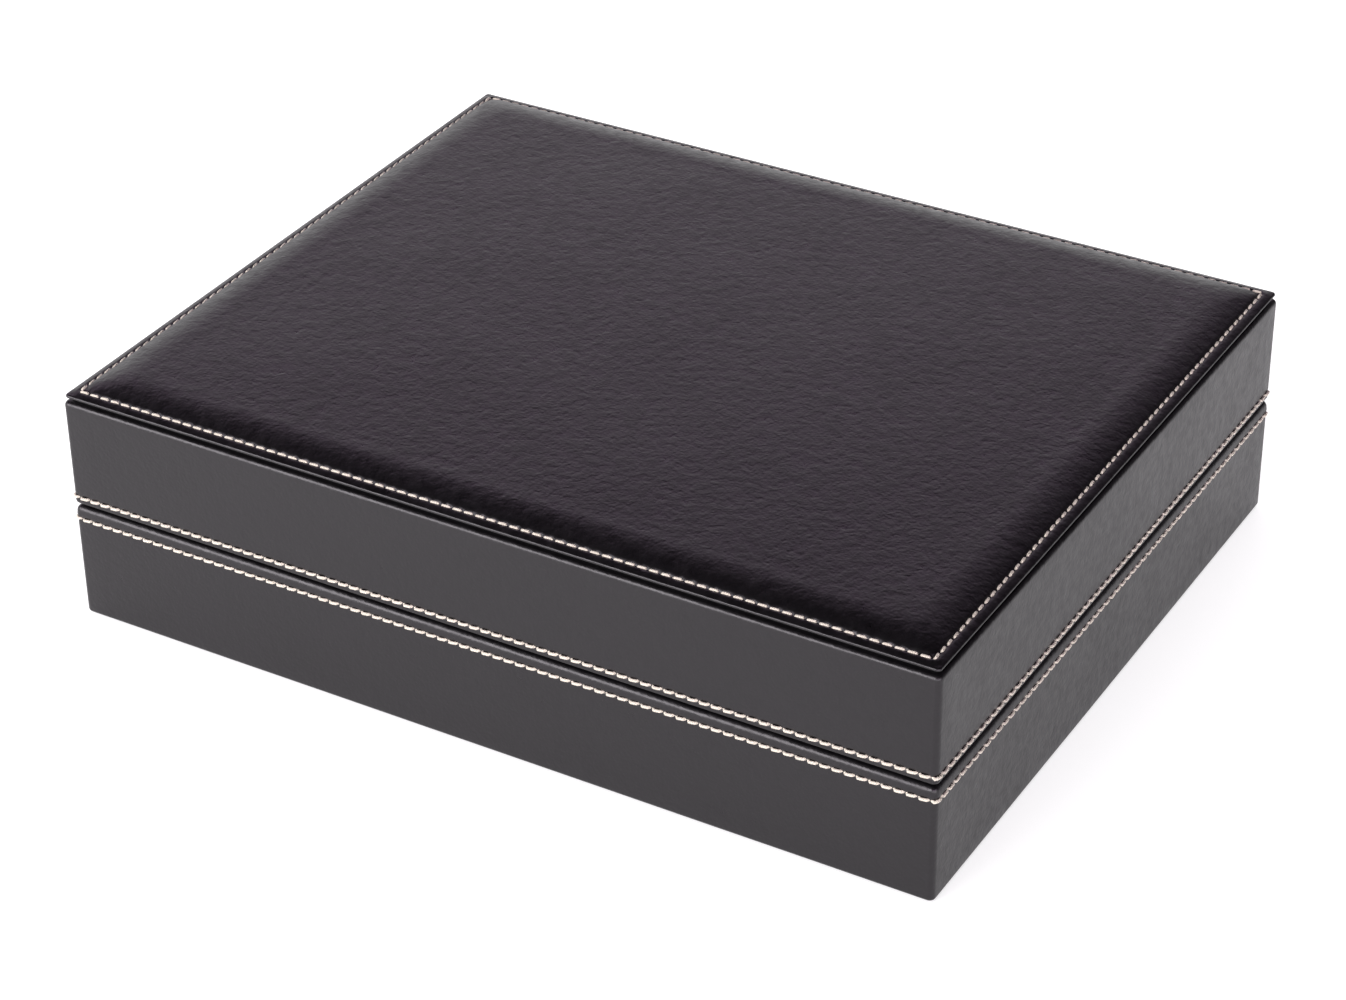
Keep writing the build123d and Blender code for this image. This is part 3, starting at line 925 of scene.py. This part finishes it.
class StitchTree(NodeTree):
    """A Geometry Nodes tree."""

    def __init__(self, name):
        super().__init__(bpy.data.node_groups.new(name, "GeometryNodeTree"))
        self.tree.interface.new_socket("Geometry", in_out="INPUT", socket_type="NodeSocketGeometry")
        self.tree.interface.new_socket("Geometry", in_out="OUTPUT", socket_type="NodeSocketGeometry")
        self.entry = self.tree.nodes.new("NodeGroupInput")
        self.exit = self.tree.nodes.new("NodeGroupOutput")

    def input(self, name, kind="NodeSocketFloat"):
        self.tree.interface.new_socket(name, in_out="INPUT", socket_type=kind)
        return self.entry.outputs[name]

    def read(self, name, kind="FLOAT"):
        node = self.add("GeometryNodeInputNamedAttribute", {"Name": name}, data_type=kind)
        return node.outputs["Attribute"]

    def store(self, shape, name, value, kind="FLOAT", domain="POINT"):
        inputs = {"Geometry": shape, "Name": name, "Value": value}
        node = self.add("GeometryNodeStoreNamedAttribute", inputs, data_type=kind, domain=domain)
        return node.outputs["Geometry"]

    def change(self, kind, shape, **inputs):
        """Puts a shape through one more node."""
        return self.add("GeometryNode" + kind, {"Geometry": shape, **inputs}).outputs["Geometry"]


def stitch_tree():
    """Thread that runs along a seam, dips into each needle hole and slants a little between them."""
    points_per_stitch = 8.0
    thread_sides = 6
    past_hole = 0.0001
    ply_slant = 0.9
    tree = StitchTree("stitched_seam")
    pitch = tree.input("Stitch pitch")
    thread = tree.input("Thread")
    rise = tree.input("Rise")
    dip = tree.input("Dip")
    climb = tree.input("Climb")
    slant = tree.input("Slant")
    unevenness = tree.input("Unevenness")
    hinge_middle = tree.input("Hinge middle")
    hinge_half = tree.input("Hinge half length")
    hinge_sink = tree.input("Hinge sink")
    rear = tree.input("Rear")
    seed = tree.input("Seed", "NodeSocketInt")
    material = tree.input("Thread material", "NodeSocketMaterial")

    curve = tree.add("GeometryNodeMeshToCurve", {"Mesh": tree.entry.outputs["Geometry"]}).outputs["Curve"]
    run = tree.add("GeometryNodeSplineLength").outputs["Length"]
    stitches = tree.math("ROUND", tree.math("DIVIDE", run, pitch))
    curve = tree.store(curve, "stitches", stitches, domain="CURVE")
    stitches = tree.read("stitches")
    count = tree.times(stitches, points_per_stitch)
    curve = tree.add("GeometryNodeResampleCurve", {"Curve": curve, "Count": count}).outputs["Curve"]

    factor = tree.add("GeometryNodeSplineParameter").outputs["Factor"]
    place = tree.plus(tree.times(factor, stitches), past_hole)
    phase = tree.math("FRACT", place)
    from_hole = tree.math("MINIMUM", phase, tree.minus(1.0, phase))
    lift = tree.span(from_hole, end=climb, kind="SMOOTHSTEP")
    stitch = tree.plus(tree.math("FLOOR", place), seed)
    chance = tree.add("ShaderNodeTexWhiteNoise", {"W": stitch}, noise_dimensions="1D").outputs["Value"]
    chance = tree.minus(chance, 0.5)

    position = tree.add("GeometryNodeInputPosition").outputs["Position"]
    from_middle = tree.math("ABSOLUTE", tree.axis(position, "X"))
    from_hinge = tree.math("ABSOLUTE", tree.minus(from_middle, hinge_middle))
    behind = tree.math("GREATER_THAN", tree.axis(position, "Y"), rear)
    hidden = tree.times(tree.math("LESS_THAN", from_hinge, hinge_half), behind)

    outward = tree.vector("NORMALIZE", tree.read("outward", "FLOAT_VECTOR"))
    tangent = tree.add("GeometryNodeInputTangent").outputs["Tangent"]
    side = tree.vector("CROSS_PRODUCT", tangent, outward)
    height = tree.minus(tree.times(lift, tree.plus(rise, dip)), dip)
    height = tree.minus(height, tree.times(hidden, hinge_sink))
    lean = tree.times(tree.minus(1.0, tree.times(phase, 2.0)), slant)
    lean = tree.times(tree.plus(lean, tree.times(chance, unevenness)), lift)
    offset = tree.vector(
        "ADD", tree.vector("SCALE", outward, scale=height), tree.vector("SCALE", side, scale=lean))
    curve = tree.store(curve, "along", tree.times(place, pitch))
    curve = tree.store(curve, "side", side, "FLOAT_VECTOR")
    curve = tree.change("SetPosition", curve, Offset=offset)
    curve = tree.store(curve, "rail", position, "FLOAT_VECTOR")

    inputs = {"Resolution": thread_sides, "Radius": tree.math("DIVIDE", thread, 2.0)}
    section = tree.add("GeometryNodeCurvePrimitiveCircle", inputs)
    inputs = {"Curve": curve, "Profile Curve": section.outputs["Curve"]}
    mesh = tree.add("GeometryNodeCurveToMesh", inputs).outputs["Mesh"]
    from_rail = tree.vector("SUBTRACT", position, tree.read("rail", "FLOAT_VECTOR"))
    across = tree.vector("DOT_PRODUCT", from_rail, tree.read("side", "FLOAT_VECTOR"))
    mesh = tree.store(mesh, "ply", tree.plus(tree.read("along"), tree.times(across, ply_slant)))
    mesh = tree.change("RealizeInstances", tree.change("SetShadeSmooth", mesh))
    mesh = tree.change("SetMaterial", mesh, Material=material)
    tree.feed(tree.exit.inputs["Geometry"], mesh)
    return tree.tree


def seam_loop(body, outward_layer, half_x, half_y, radius, inset, level, upright):
    """Adds one closed seam path, with the direction in which its thread stands out."""
    columns, _ = rounded_columns(half_x, half_y, radius, corner_steps=6, spacing=0.02)
    ring = []
    for column in columns:
        x, y = column_point(column, inset, half_x, half_y, radius, least_radius=0.0008)
        vertex = body.verts.new((x, y, level))
        vertex[outward_layer] = Vector((0, 0, 1)) if upright else column[1].to_3d()
        ring.append(vertex)
    for place, vertex in enumerate(ring):
        body.edges.new((vertex, ring[(place + 1) % len(ring)]))


def seam_values():
    """What the stitches' tree is given."""
    rear_wall_depth = 0.001
    seam = settings().seam
    return {
        "Stitch pitch": seam.pitch,
        "Thread": seam.thread,
        "Rise": seam.rise,
        "Dip": seam.dip,
        "Climb": seam.climb,
        "Slant": seam.slant,
        "Unevenness": seam.unevenness,
        "Hinge middle": (HINGE_LOW.x + HINGE_HIGH.x) / 2,
        "Hinge half length": (HINGE_HIGH.x - HINGE_LOW.x) / 2 + seam.hinge_margin,
        "Hinge sink": seam.hinge_sink,
        "Rear": BASE_HIGH.y - rear_wall_depth,
        "Seed": seam.seed,
        "Thread material": finish_for("stitch_thread"),
    }


def sew(name, body_name, loops):
    """Runs thread along seam paths and keeps the result as one plain mesh."""
    body = bmesh.new()
    outward_layer = body.verts.layers.float_vector.new("outward")
    for loop in loops:
        seam_loop(body, outward_layer, *loop)
    path_mesh = bpy.data.meshes.new(name + "_path")
    body.to_mesh(path_mesh)
    body.free()
    path = add_object(name + "_path", path_mesh)
    modifier = path.modifiers.new("Stitches", "NODES")
    modifier.node_group = stitch_tree()
    values = seam_values()
    for item in modifier.node_group.interface.items_tree:
        if item.in_out == "INPUT" and item.name in values:
            modifier[item.identifier] = values[item.name]
    evaluated = path.evaluated_get(bpy.context.evaluated_depsgraph_get())
    mesh = bpy.data.meshes.new_from_object(evaluated)
    mesh.name = name
    bpy.data.objects.remove(path)
    for spare in ("stitches", "along", "side", "rail", "outward"):
        if spare in mesh.attributes:
            mesh.attributes.remove(mesh.attributes[spare])
    turned = bmesh.new()
    turned.from_mesh(mesh)
    bmesh.ops.recalc_face_normals(turned, faces=turned.faces)
    turned.to_mesh(mesh)
    turned.free()
    return add_piece(name, mesh, body_name, "stitch_thread")


# Coin trays

def soften(points, reach, steps=4, least_turn=25):
    """Rounds the sharp corners of a flat outline."""
    most_of_side = 0.45
    softened = []
    for place, point in enumerate(points):
        before = points[place - 1]
        after = points[(place + 1) % len(points)]
        arriving = (point - before).normalized()
        leaving = (after - point).normalized()
        if arriving.angle(leaving) < math.radians(least_turn):
            softened.append(point)
            continue
        start = point - arriving * min(reach, (point - before).length * most_of_side)
        end = point + leaving * min(reach, (after - point).length * most_of_side)
        for step in range(steps + 1):
            share = step / steps
            softened.append(start.lerp(point, share).lerp(point.lerp(end, share), share))
    return softened


def offset_outline(points, distance):
    """The outline moved outwards, or inwards where the distance is negative."""
    moved = []
    for place, point in enumerate(points):
        arriving = (point - points[place - 1]).normalized()
        leaving = (points[(place + 1) % len(points)] - point).normalized()
        first = Vector((arriving.y, -arriving.x))
        second = Vector((leaving.y, -leaving.x))
        moved.append(point + (first + second) / (1 + first.dot(second)) * distance)
    return moved


def tray_outline(half_x, half_y, tray):
    """A tray's outline: cut corners and a thumb notch at each end."""
    right = [(half_x - tray.corner_cut, -half_y), (half_x, -half_y + tray.corner_cut)]
    right.append((half_x, -tray.notch_radius))
    right += arc_rows((half_x, 0), tray.notch_radius, 250, 110, steps=20)
    right.append((half_x, tray.notch_radius))
    right += [(half_x, half_y - tray.corner_cut), (half_x - tray.corner_cut, half_y)]
    right = [Vector(point) for point in right]
    return soften(right + [-point for point in right], tray.softness)


def pocket_outline(shape, half, corner):
    """A round or square pocket's outline; a soft corner starts further from the point than an arc would."""
    soft_corner_factor = 1.3
    if shape == "round":
        return [Vector(point) for point in arc_rows((0, 0), half, 0, 360, steps=36)[:-1]]
    square = [Vector((half, -half)), Vector((half, half)), Vector((-half, half)), Vector((-half, -half))]
    return soften(square, corner * soft_corner_factor, steps=6)


def pocket_places(half_x, half_y, size, tray):
    """Centres of the pockets, evenly spread over the tray's field."""
    slack = 1e-6
    field_x = 2 * (half_x - tray.notch_radius - tray.web / 2)
    field_y = 2 * (half_y - tray.end_border)
    columns = int((field_x + tray.web + slack) // (size + tray.web))
    rows = int((field_y + tray.web + slack) // (size + tray.web))
    return [
        Vector(((column - (columns - 1) / 2) * field_x / columns, (row - (rows - 1) / 2) * field_y / rows))
        for column in range(columns)
        for row in range(rows)
    ]


def add_rings(body, outline, centre, rows):
    """Adds a stack of rings around a centre, closes its end and returns the first ring."""
    rings = []
    for outset, level in rows:
        points = [point + centre for point in offset_outline(outline, outset)]
        rings.append([body.verts.new((point.x, point.y, level)) for point in points])
    for upper, lower in zip(rings, rings[1:]):
        join_rings(body, upper, lower)
    body.faces.new(rings[-1])
    return rings[0]


def fill_between(body, outer, holes):
    """Fills the flat face inside an outer ring, around the rings of its holes."""
    triangles_inside = 1
    tolerance = 1e-7
    rings = [outer] + holes
    vertices = [vertex for ring in rings for vertex in ring]
    owner = {vertex: place for place, ring in enumerate(rings) for vertex in ring}
    edges = []
    start = 0
    for ring in rings:
        edges += [(start + place, start + (place + 1) % len(ring)) for place in range(len(ring))]
        start += len(ring)
    points = [vertex.co.to_2d() for vertex in vertices]
    _, _, triangles, sources, _, _ = geometry.delaunay_2d_cdt(points, edges, [], triangles_inside, tolerance)
    for triangle in triangles:
        corners = [vertices[sources[place][0]] for place in triangle]
        owners = {owner[corner] for corner in corners}
        if len(owners) > 1 or owners == {0}:
            body.faces.new(corners)


def tray_mesh(node, shape, size):
    """A flocked tray: soft outer edges, drafted pockets with rounded lips and filleted floors."""
    # Narrow flat rings beside the rounded edges keep their shading off the flat top
    edge_ring = 0.0003
    lip_ring = 0.0002
    tray = settings().tray
    low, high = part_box(node)
    half_x = (high.x - low.x) / 2
    half_y = (high.y - low.y) / 2
    edge = tray.edge_radius
    lip = tray.lip_radius
    floor = high.z - tray.pocket_depth
    outside = [(-edge - edge_ring, high.z)]
    outside += arc_rows((-edge, high.z - edge), edge, 90, 0, steps=4)
    outside += arc_rows((-edge, low.z + edge), edge, 0, -90, steps=3)
    inside = [(lip + lip_ring, high.z)]
    inside += arc_rows((lip, high.z - lip), lip, 90, 180, steps=4)
    inside += arc_rows((-tray.pocket_draft - lip, floor + lip), lip, 0, -90, steps=3)
    body = bmesh.new()
    outer = add_rings(body, tray_outline(half_x, half_y, tray), Vector((0, 0)), outside)
    outline = pocket_outline(shape, size / 2, tray.pocket_corner)
    centres = pocket_places(half_x, half_y, size, tray)
    fill_between(body, outer, [add_rings(body, outline, centre, inside) for centre in centres])
    return smooth_mesh(body, node + "_flocked")


# Stage

def add_floor(stage):
    """A floor that glows, with painted shade in its glow around the case."""
    pale_grey = (0.45, 0.45, 0.45, 1)
    white = (1, 1, 1, 1)
    floor_mesh = bpy.data.meshes.new("stage_floor")
    half = stage.floor_width / 2
    corners = [(-half, -half, 0), (half, -half, 0), (half, half, 0), (-half, half, 0)]
    floor_mesh.from_pydata(corners, [], [(0, 1, 2, 3)])
    floor = add_object("stage_floor", floor_mesh)
    recipe = Recipe("pale_floor")
    speckle = recipe.noise(scale=40.0, detail=3.0)
    # Painted shadow: ambient occlusion dims the floor's glow near the case
    painted_contact_shade = recipe.add("ShaderNodeAmbientOcclusion", {"Distance": stage.floor_reach}).outputs["AO"]
    seen = recipe.add("ShaderNodeLightPath").outputs["Is Camera Ray"]
    glow = recipe.span(painted_contact_shade, stage.floor_shade * stage.floor_glow, stage.floor_glow)
    recipe.shade(
        Base_Color=pale_grey,
        Roughness=recipe.span(speckle, 0.7, 0.8),
        Emission_Color=white,
        Emission_Strength=recipe.plus(glow, recipe.times(seen, stage.floor_white)),
    )
    floor_mesh.materials.append(recipe.material)


def add_walls(stage):
    """Light from all around: pale walls up to a dark ceiling, with one dark and one bright side."""
    white = (1, 1, 1, 1)
    world = bpy.data.worlds.new("white_walls")
    bpy.context.scene.world = world
    world.use_nodes = True
    walls = NodeTree(world.node_tree)
    direction = walls.add("ShaderNodeTexCoord").outputs["Generated"]
    fade = walls.add("ShaderNodeValToRGB", {"Fac": walls.axis(direction, "Z")})
    ramp = fade.color_ramp.elements
    for height, _ in WALL_LIGHT[1:-1]:
        ramp.new(height)
    for element, (_, tint) in zip(ramp, WALL_LIGHT):
        element.color = (*tint, 1)
    light = fade.outputs["Color"]
    lobes = (
        (stage.dark_side, stage.dark_side_width, stage.dark_side_light),
        (stage.fill_side, stage.fill_side_width, stage.fill_side_light),
    )
    for side, width, strength in lobes:
        nearness = walls.vector("DOT_PRODUCT", direction, Vector(side).normalized())
        lobe = walls.span(nearness, 1.0, strength, math.cos(width), math.cos(width / 2), "SMOOTHSTEP")
        light = walls.vector("SCALE", light, scale=lobe)
    seen = walls.add("ShaderNodeLightPath").outputs["Is Camera Ray"]
    background = walls.tree.nodes["Background"]
    walls.feed(background.inputs["Color"], walls.mix(seen, light, white))
    background.inputs["Strength"].default_value = stage.band_light


def aimed(place, aim, roll=0.0):
    """The placing of a lamp or camera that looks from a place to its aim."""
    facing = (Vector(aim) - Vector(place)).to_track_quat("-Z", "Y").to_matrix().to_4x4()
    return Matrix.Translation(Vector(place)) @ facing @ Matrix.Rotation(roll, 4, "Z")


def add_soft_box(stage):
    """A large soft lamp."""
    soft_box = bpy.data.lights.new("soft_box", "AREA")
    soft_box.shape = "RECTANGLE"
    soft_box.size = stage.soft_box_width
    soft_box.size_y = stage.soft_box_height
    soft_box.energy = stage.soft_box_power
    case_middle = (0, 0, (BASE_LOW.z + COVER_HIGH.z) / 2)
    add_object("soft_box", soft_box).matrix_world = aimed(stage.soft_box_place, case_middle)


def add_camera(stage):
    """The photo's camera."""
    camera = bpy.data.cameras.new("camera")
    camera.lens = stage.lens
    camera.clip_start = 0.01
    camera.clip_end = 50.0
    camera_object = add_object("camera", camera)
    camera_object.matrix_world = aimed(stage.camera, stage.camera_aim, stage.camera_roll)
    bpy.context.scene.camera = camera_object


# Operators, one for each piece or group of like pieces

def dress(slot, *words):
    """Gives the slot's finish to the CAD nodes that have one of these words in their names."""
    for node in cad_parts:
        if any(word in node for word in words):
            wear(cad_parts[node].data, slot)


class COINCASE_OT_leather_skins(bpy.types.Operator):
    """Leatherette around the base and the lid"""
    bl_idname = "coin_case.leather_skins"
    bl_label = "Leatherette skins"

    def execute(self, context):
        seam = settings().seam
        skins = (
            ("base", BASE_HIGH, base_profile(), seam.base_level),
            ("lid", LID_HIGH, lid_profile(), seam.lid_level),
        )
        for body, high, profile, seam_level in skins:
            mesh = skin_mesh(body + "_leather", high.x, high.y, profile, seam_level)
            add_piece(body + "_leather", mesh, body, "leatherette", (body + "_wrap",))
        return {"FINISHED"}


class COINCASE_OT_padded_cover(bpy.types.Operator):
    """Padded and sewn leatherette over the cover plate"""
    bl_idname = "coin_case.padded_cover"
    bl_label = "Padded cover"

    def execute(self, context):
        noise_level = 0.3
        cover = settings().cover
        bed = COVER_FLANGE + cover.seam_rise
        seam_x = COVER_HIGH.x - cover.seam_inset
        seam_y = COVER_HIGH.y - cover.seam_inset
        border_slope = math.atan(2 * cover.border_drop / cover.seam_inset)
        edge = cover.trim + cover.edge_radius * (1 - math.sin(border_slope))
        border = cover.seam_inset - edge

        def laid_height(x, y):
            inside = inset_of(x, y, seam_x, seam_y, cover.seam_corner)
            padding = smooth_least(seam_x - abs(x), seam_y - abs(y), cover.hip_rounding)
            dip = cover.seam_depth * math.exp(-(inside / cover.seam_width) ** 2)
            outside = min(1.0, max(0.0, -inside) / border)
            field = min(1.0, max(padding, 0.0) / cover.uneven_reach)
            uneven = cover.unevenness * field * noise.noise(Vector((x, y, noise_level)) * cover.waves)
            return bed + roll_height(padding) - dip - cover.border_drop * outside ** 2 + uneven

        mesh = panel_mesh(
            "cover_padding",
            COVER_HIGH.x - edge,
            COVER_HIGH.y - edge,
            cover.corner_radius - edge,
            spacing={"focus": border, "finest": 0.00028, "growth": 0.11, "coarsest": 0.004},
            height_at=swollen(seam_x, seam_y, laid_height, True, settings().padding.cover_swell),
            skirt=edge_fold(bed, border_slope),
            upward=True,
            seam_half=(seam_x, seam_y),
        )
        piece = add_piece("cover_padding", mesh, "lid", "leatherette", ("cover_leather", "cover_foam"))
        return {"FINISHED"}


class COINCASE_OT_seams(bpy.types.Operator):
    """Sewing thread along the seams of the base, the lid and the cover"""
    bl_idname = "coin_case.seams"
    bl_label = "Seams"

    def execute(self, context):
        skin = settings().skin
        seam = settings().seam
        cover = settings().cover
        radius = skin.corner_radius
        floor = COVER_FLANGE + cover.seam_rise - cover.seam_depth - seam.cover_sink
        sew("base_stitches", "base", [
            (BASE_HIGH.x, BASE_HIGH.y, radius, skin.groove_depth, seam.base_level, False),
        ])
        sew("lid_stitches", "lid", [
            (LID_HIGH.x, LID_HIGH.y, radius, skin.groove_depth, seam.lid_level, False),
            (COVER_HIGH.x, COVER_HIGH.y, cover.corner_radius, cover.seam_inset, floor, True),
        ])
        return {"FINISHED"}


class COINCASE_OT_ceiling_cushion(bpy.types.Operator):
    """Thin velvet cushion under the lid"""
    bl_idname = "coin_case.ceiling_cushion"
    bl_label = "Ceiling cushion"

    def execute(self, context):
        padding = settings().padding
        half_x = CUSHION_HIGH.x
        half_y = CUSHION_HIGH.y
        card = CUSHION_HIGH.z - CEILING_CARD_THICKNESS
        depth = card - CUSHION_LOW.z

        def laid_height(x, y):
            inside = smooth_least(half_x - abs(x), half_y - abs(y), padding.ceiling_hip)
            fullness = 1 - math.exp(-max(inside, 0.0) / padding.ceiling_edge)
            return card - (depth - padding.ceiling_swell) * fullness

        mesh = panel_mesh(
            "ceiling_padding",
            half_x,
            half_y,
            padding.ceiling_corner,
            spacing={"focus": 0.0, "finest": 0.0005, "growth": 0.12, "coarsest": 0.005},
            height_at=swollen(half_x, half_y, laid_height, False, padding.ceiling_swell),
            skirt=[(0.0, CEILING_CARD_THICKNESS / 2), (0.0, CEILING_CARD_THICKNESS)],
            upward=False,
        )
        piece = add_piece("ceiling_padding", mesh, "lid", "velvet_lining", ("lid_ceiling_cushion",))
        return {"FINISHED"}


class COINCASE_OT_linings(bpy.types.Operator):
    """Velvet on the lining cards of the base and the lid"""
    bl_idname = "coin_case.linings"
    bl_label = "Velvet linings"

    def execute(self, context):
        dress("velvet_lining", "_liner_", "base_floor_lining")
        return {"FINISHED"}


class COINCASE_OT_coin_trays(bpy.types.Operator):
    """Flocked trays with pockets for coins"""
    bl_idname = "coin_case.coin_trays"
    bl_label = "Coin trays"

    def execute(self, context):
        for node, shape, size in TRAY_POCKETS:
            add_piece(node + "_flocked", tray_mesh(node, shape, size), node, "tray_flock", (node,))
        return {"FINISHED"}


class COINCASE_OT_hardware(bpy.types.Operator):
    """Brass on the hinges and plated steel on the magnets"""
    bl_idname = "coin_case.hardware"
    bl_label = "Hinges and magnets"

    def execute(self, context):
        dress("hinge_brass", "hinge_")
        dress("magnet_steel", "_magnets")
        return {"FINISHED"}


class COINCASE_OT_boards(bpy.types.Operator):
    """Fibreboard, card and felt on the boards, the spacer and the underside"""
    bl_idname = "coin_case.boards"
    bl_label = "Boards and felt"

    def execute(self, context):
        dress("case_board", "_board")
        dress("black_card", "cover_board", "cover_spacer")
        dress("underside_felt", "base_underside_sheet")
        return {"FINISHED"}


class COINCASE_OT_stage(bpy.types.Operator):
    """Pale floor, soft studio light and the camera"""
    bl_idname = "coin_case.stage"
    bl_label = "Stage"

    def execute(self, context):
        stage = settings().stage
        for add_part in (add_floor, add_walls, add_soft_box, add_camera):
            add_part(stage)
        context.scene.view_settings.view_transform = "Standard"
        context.scene.view_settings.look = "None"
        return {"FINISHED"}


class COINCASE_PT_sidebar(bpy.types.Panel):
    """Lists the case's pieces and settings"""
    bl_label = "Coin case"
    bl_idname = "COINCASE_PT_sidebar"
    bl_space_type = "VIEW_3D"
    bl_region_type = "UI"
    bl_category = "Coin case"

    def draw(self, context):
        for operator in OPERATORS:
            self.layout.operator(operator.bl_idname)
        for group_name in CoinCaseSettings.__annotations__:
            group = getattr(context.scene.coin_case, group_name)
            box = self.layout.box()
            box.label(text=group_name.capitalize())
            for name in type(group).__annotations__:
                box.prop(group, name, text=name.replace("_", " ").capitalize())


GROUPS = (
    SkinSettings,
    CoverSettings,
    PaddingSettings,
    SeamSettings,
    TraySettings,
    FinishSettings,
    StageSettings,
    CoinCaseSettings,
)
OPERATORS = (
    COINCASE_OT_leather_skins,
    COINCASE_OT_padded_cover,
    COINCASE_OT_seams,
    COINCASE_OT_ceiling_cushion,
    COINCASE_OT_linings,
    COINCASE_OT_coin_trays,
    COINCASE_OT_hardware,
    COINCASE_OT_boards,
    COINCASE_OT_stage,
)


def register():
    for item in (*GROUPS, *OPERATORS, COINCASE_PT_sidebar):
        bpy.utils.register_class(item)
    bpy.types.Scene.coin_case = PointerProperty(type=CoinCaseSettings)


def unregister():
    del bpy.types.Scene.coin_case
    for item in reversed((*GROUPS, *OPERATORS, COINCASE_PT_sidebar)):
        bpy.utils.unregister_class(item)


def main():
    register()
    for operator in OPERATORS:
        group, name = operator.bl_idname.split(".")
        getattr(getattr(bpy.ops, group), name)()


if __name__ == "__main__":
    main()
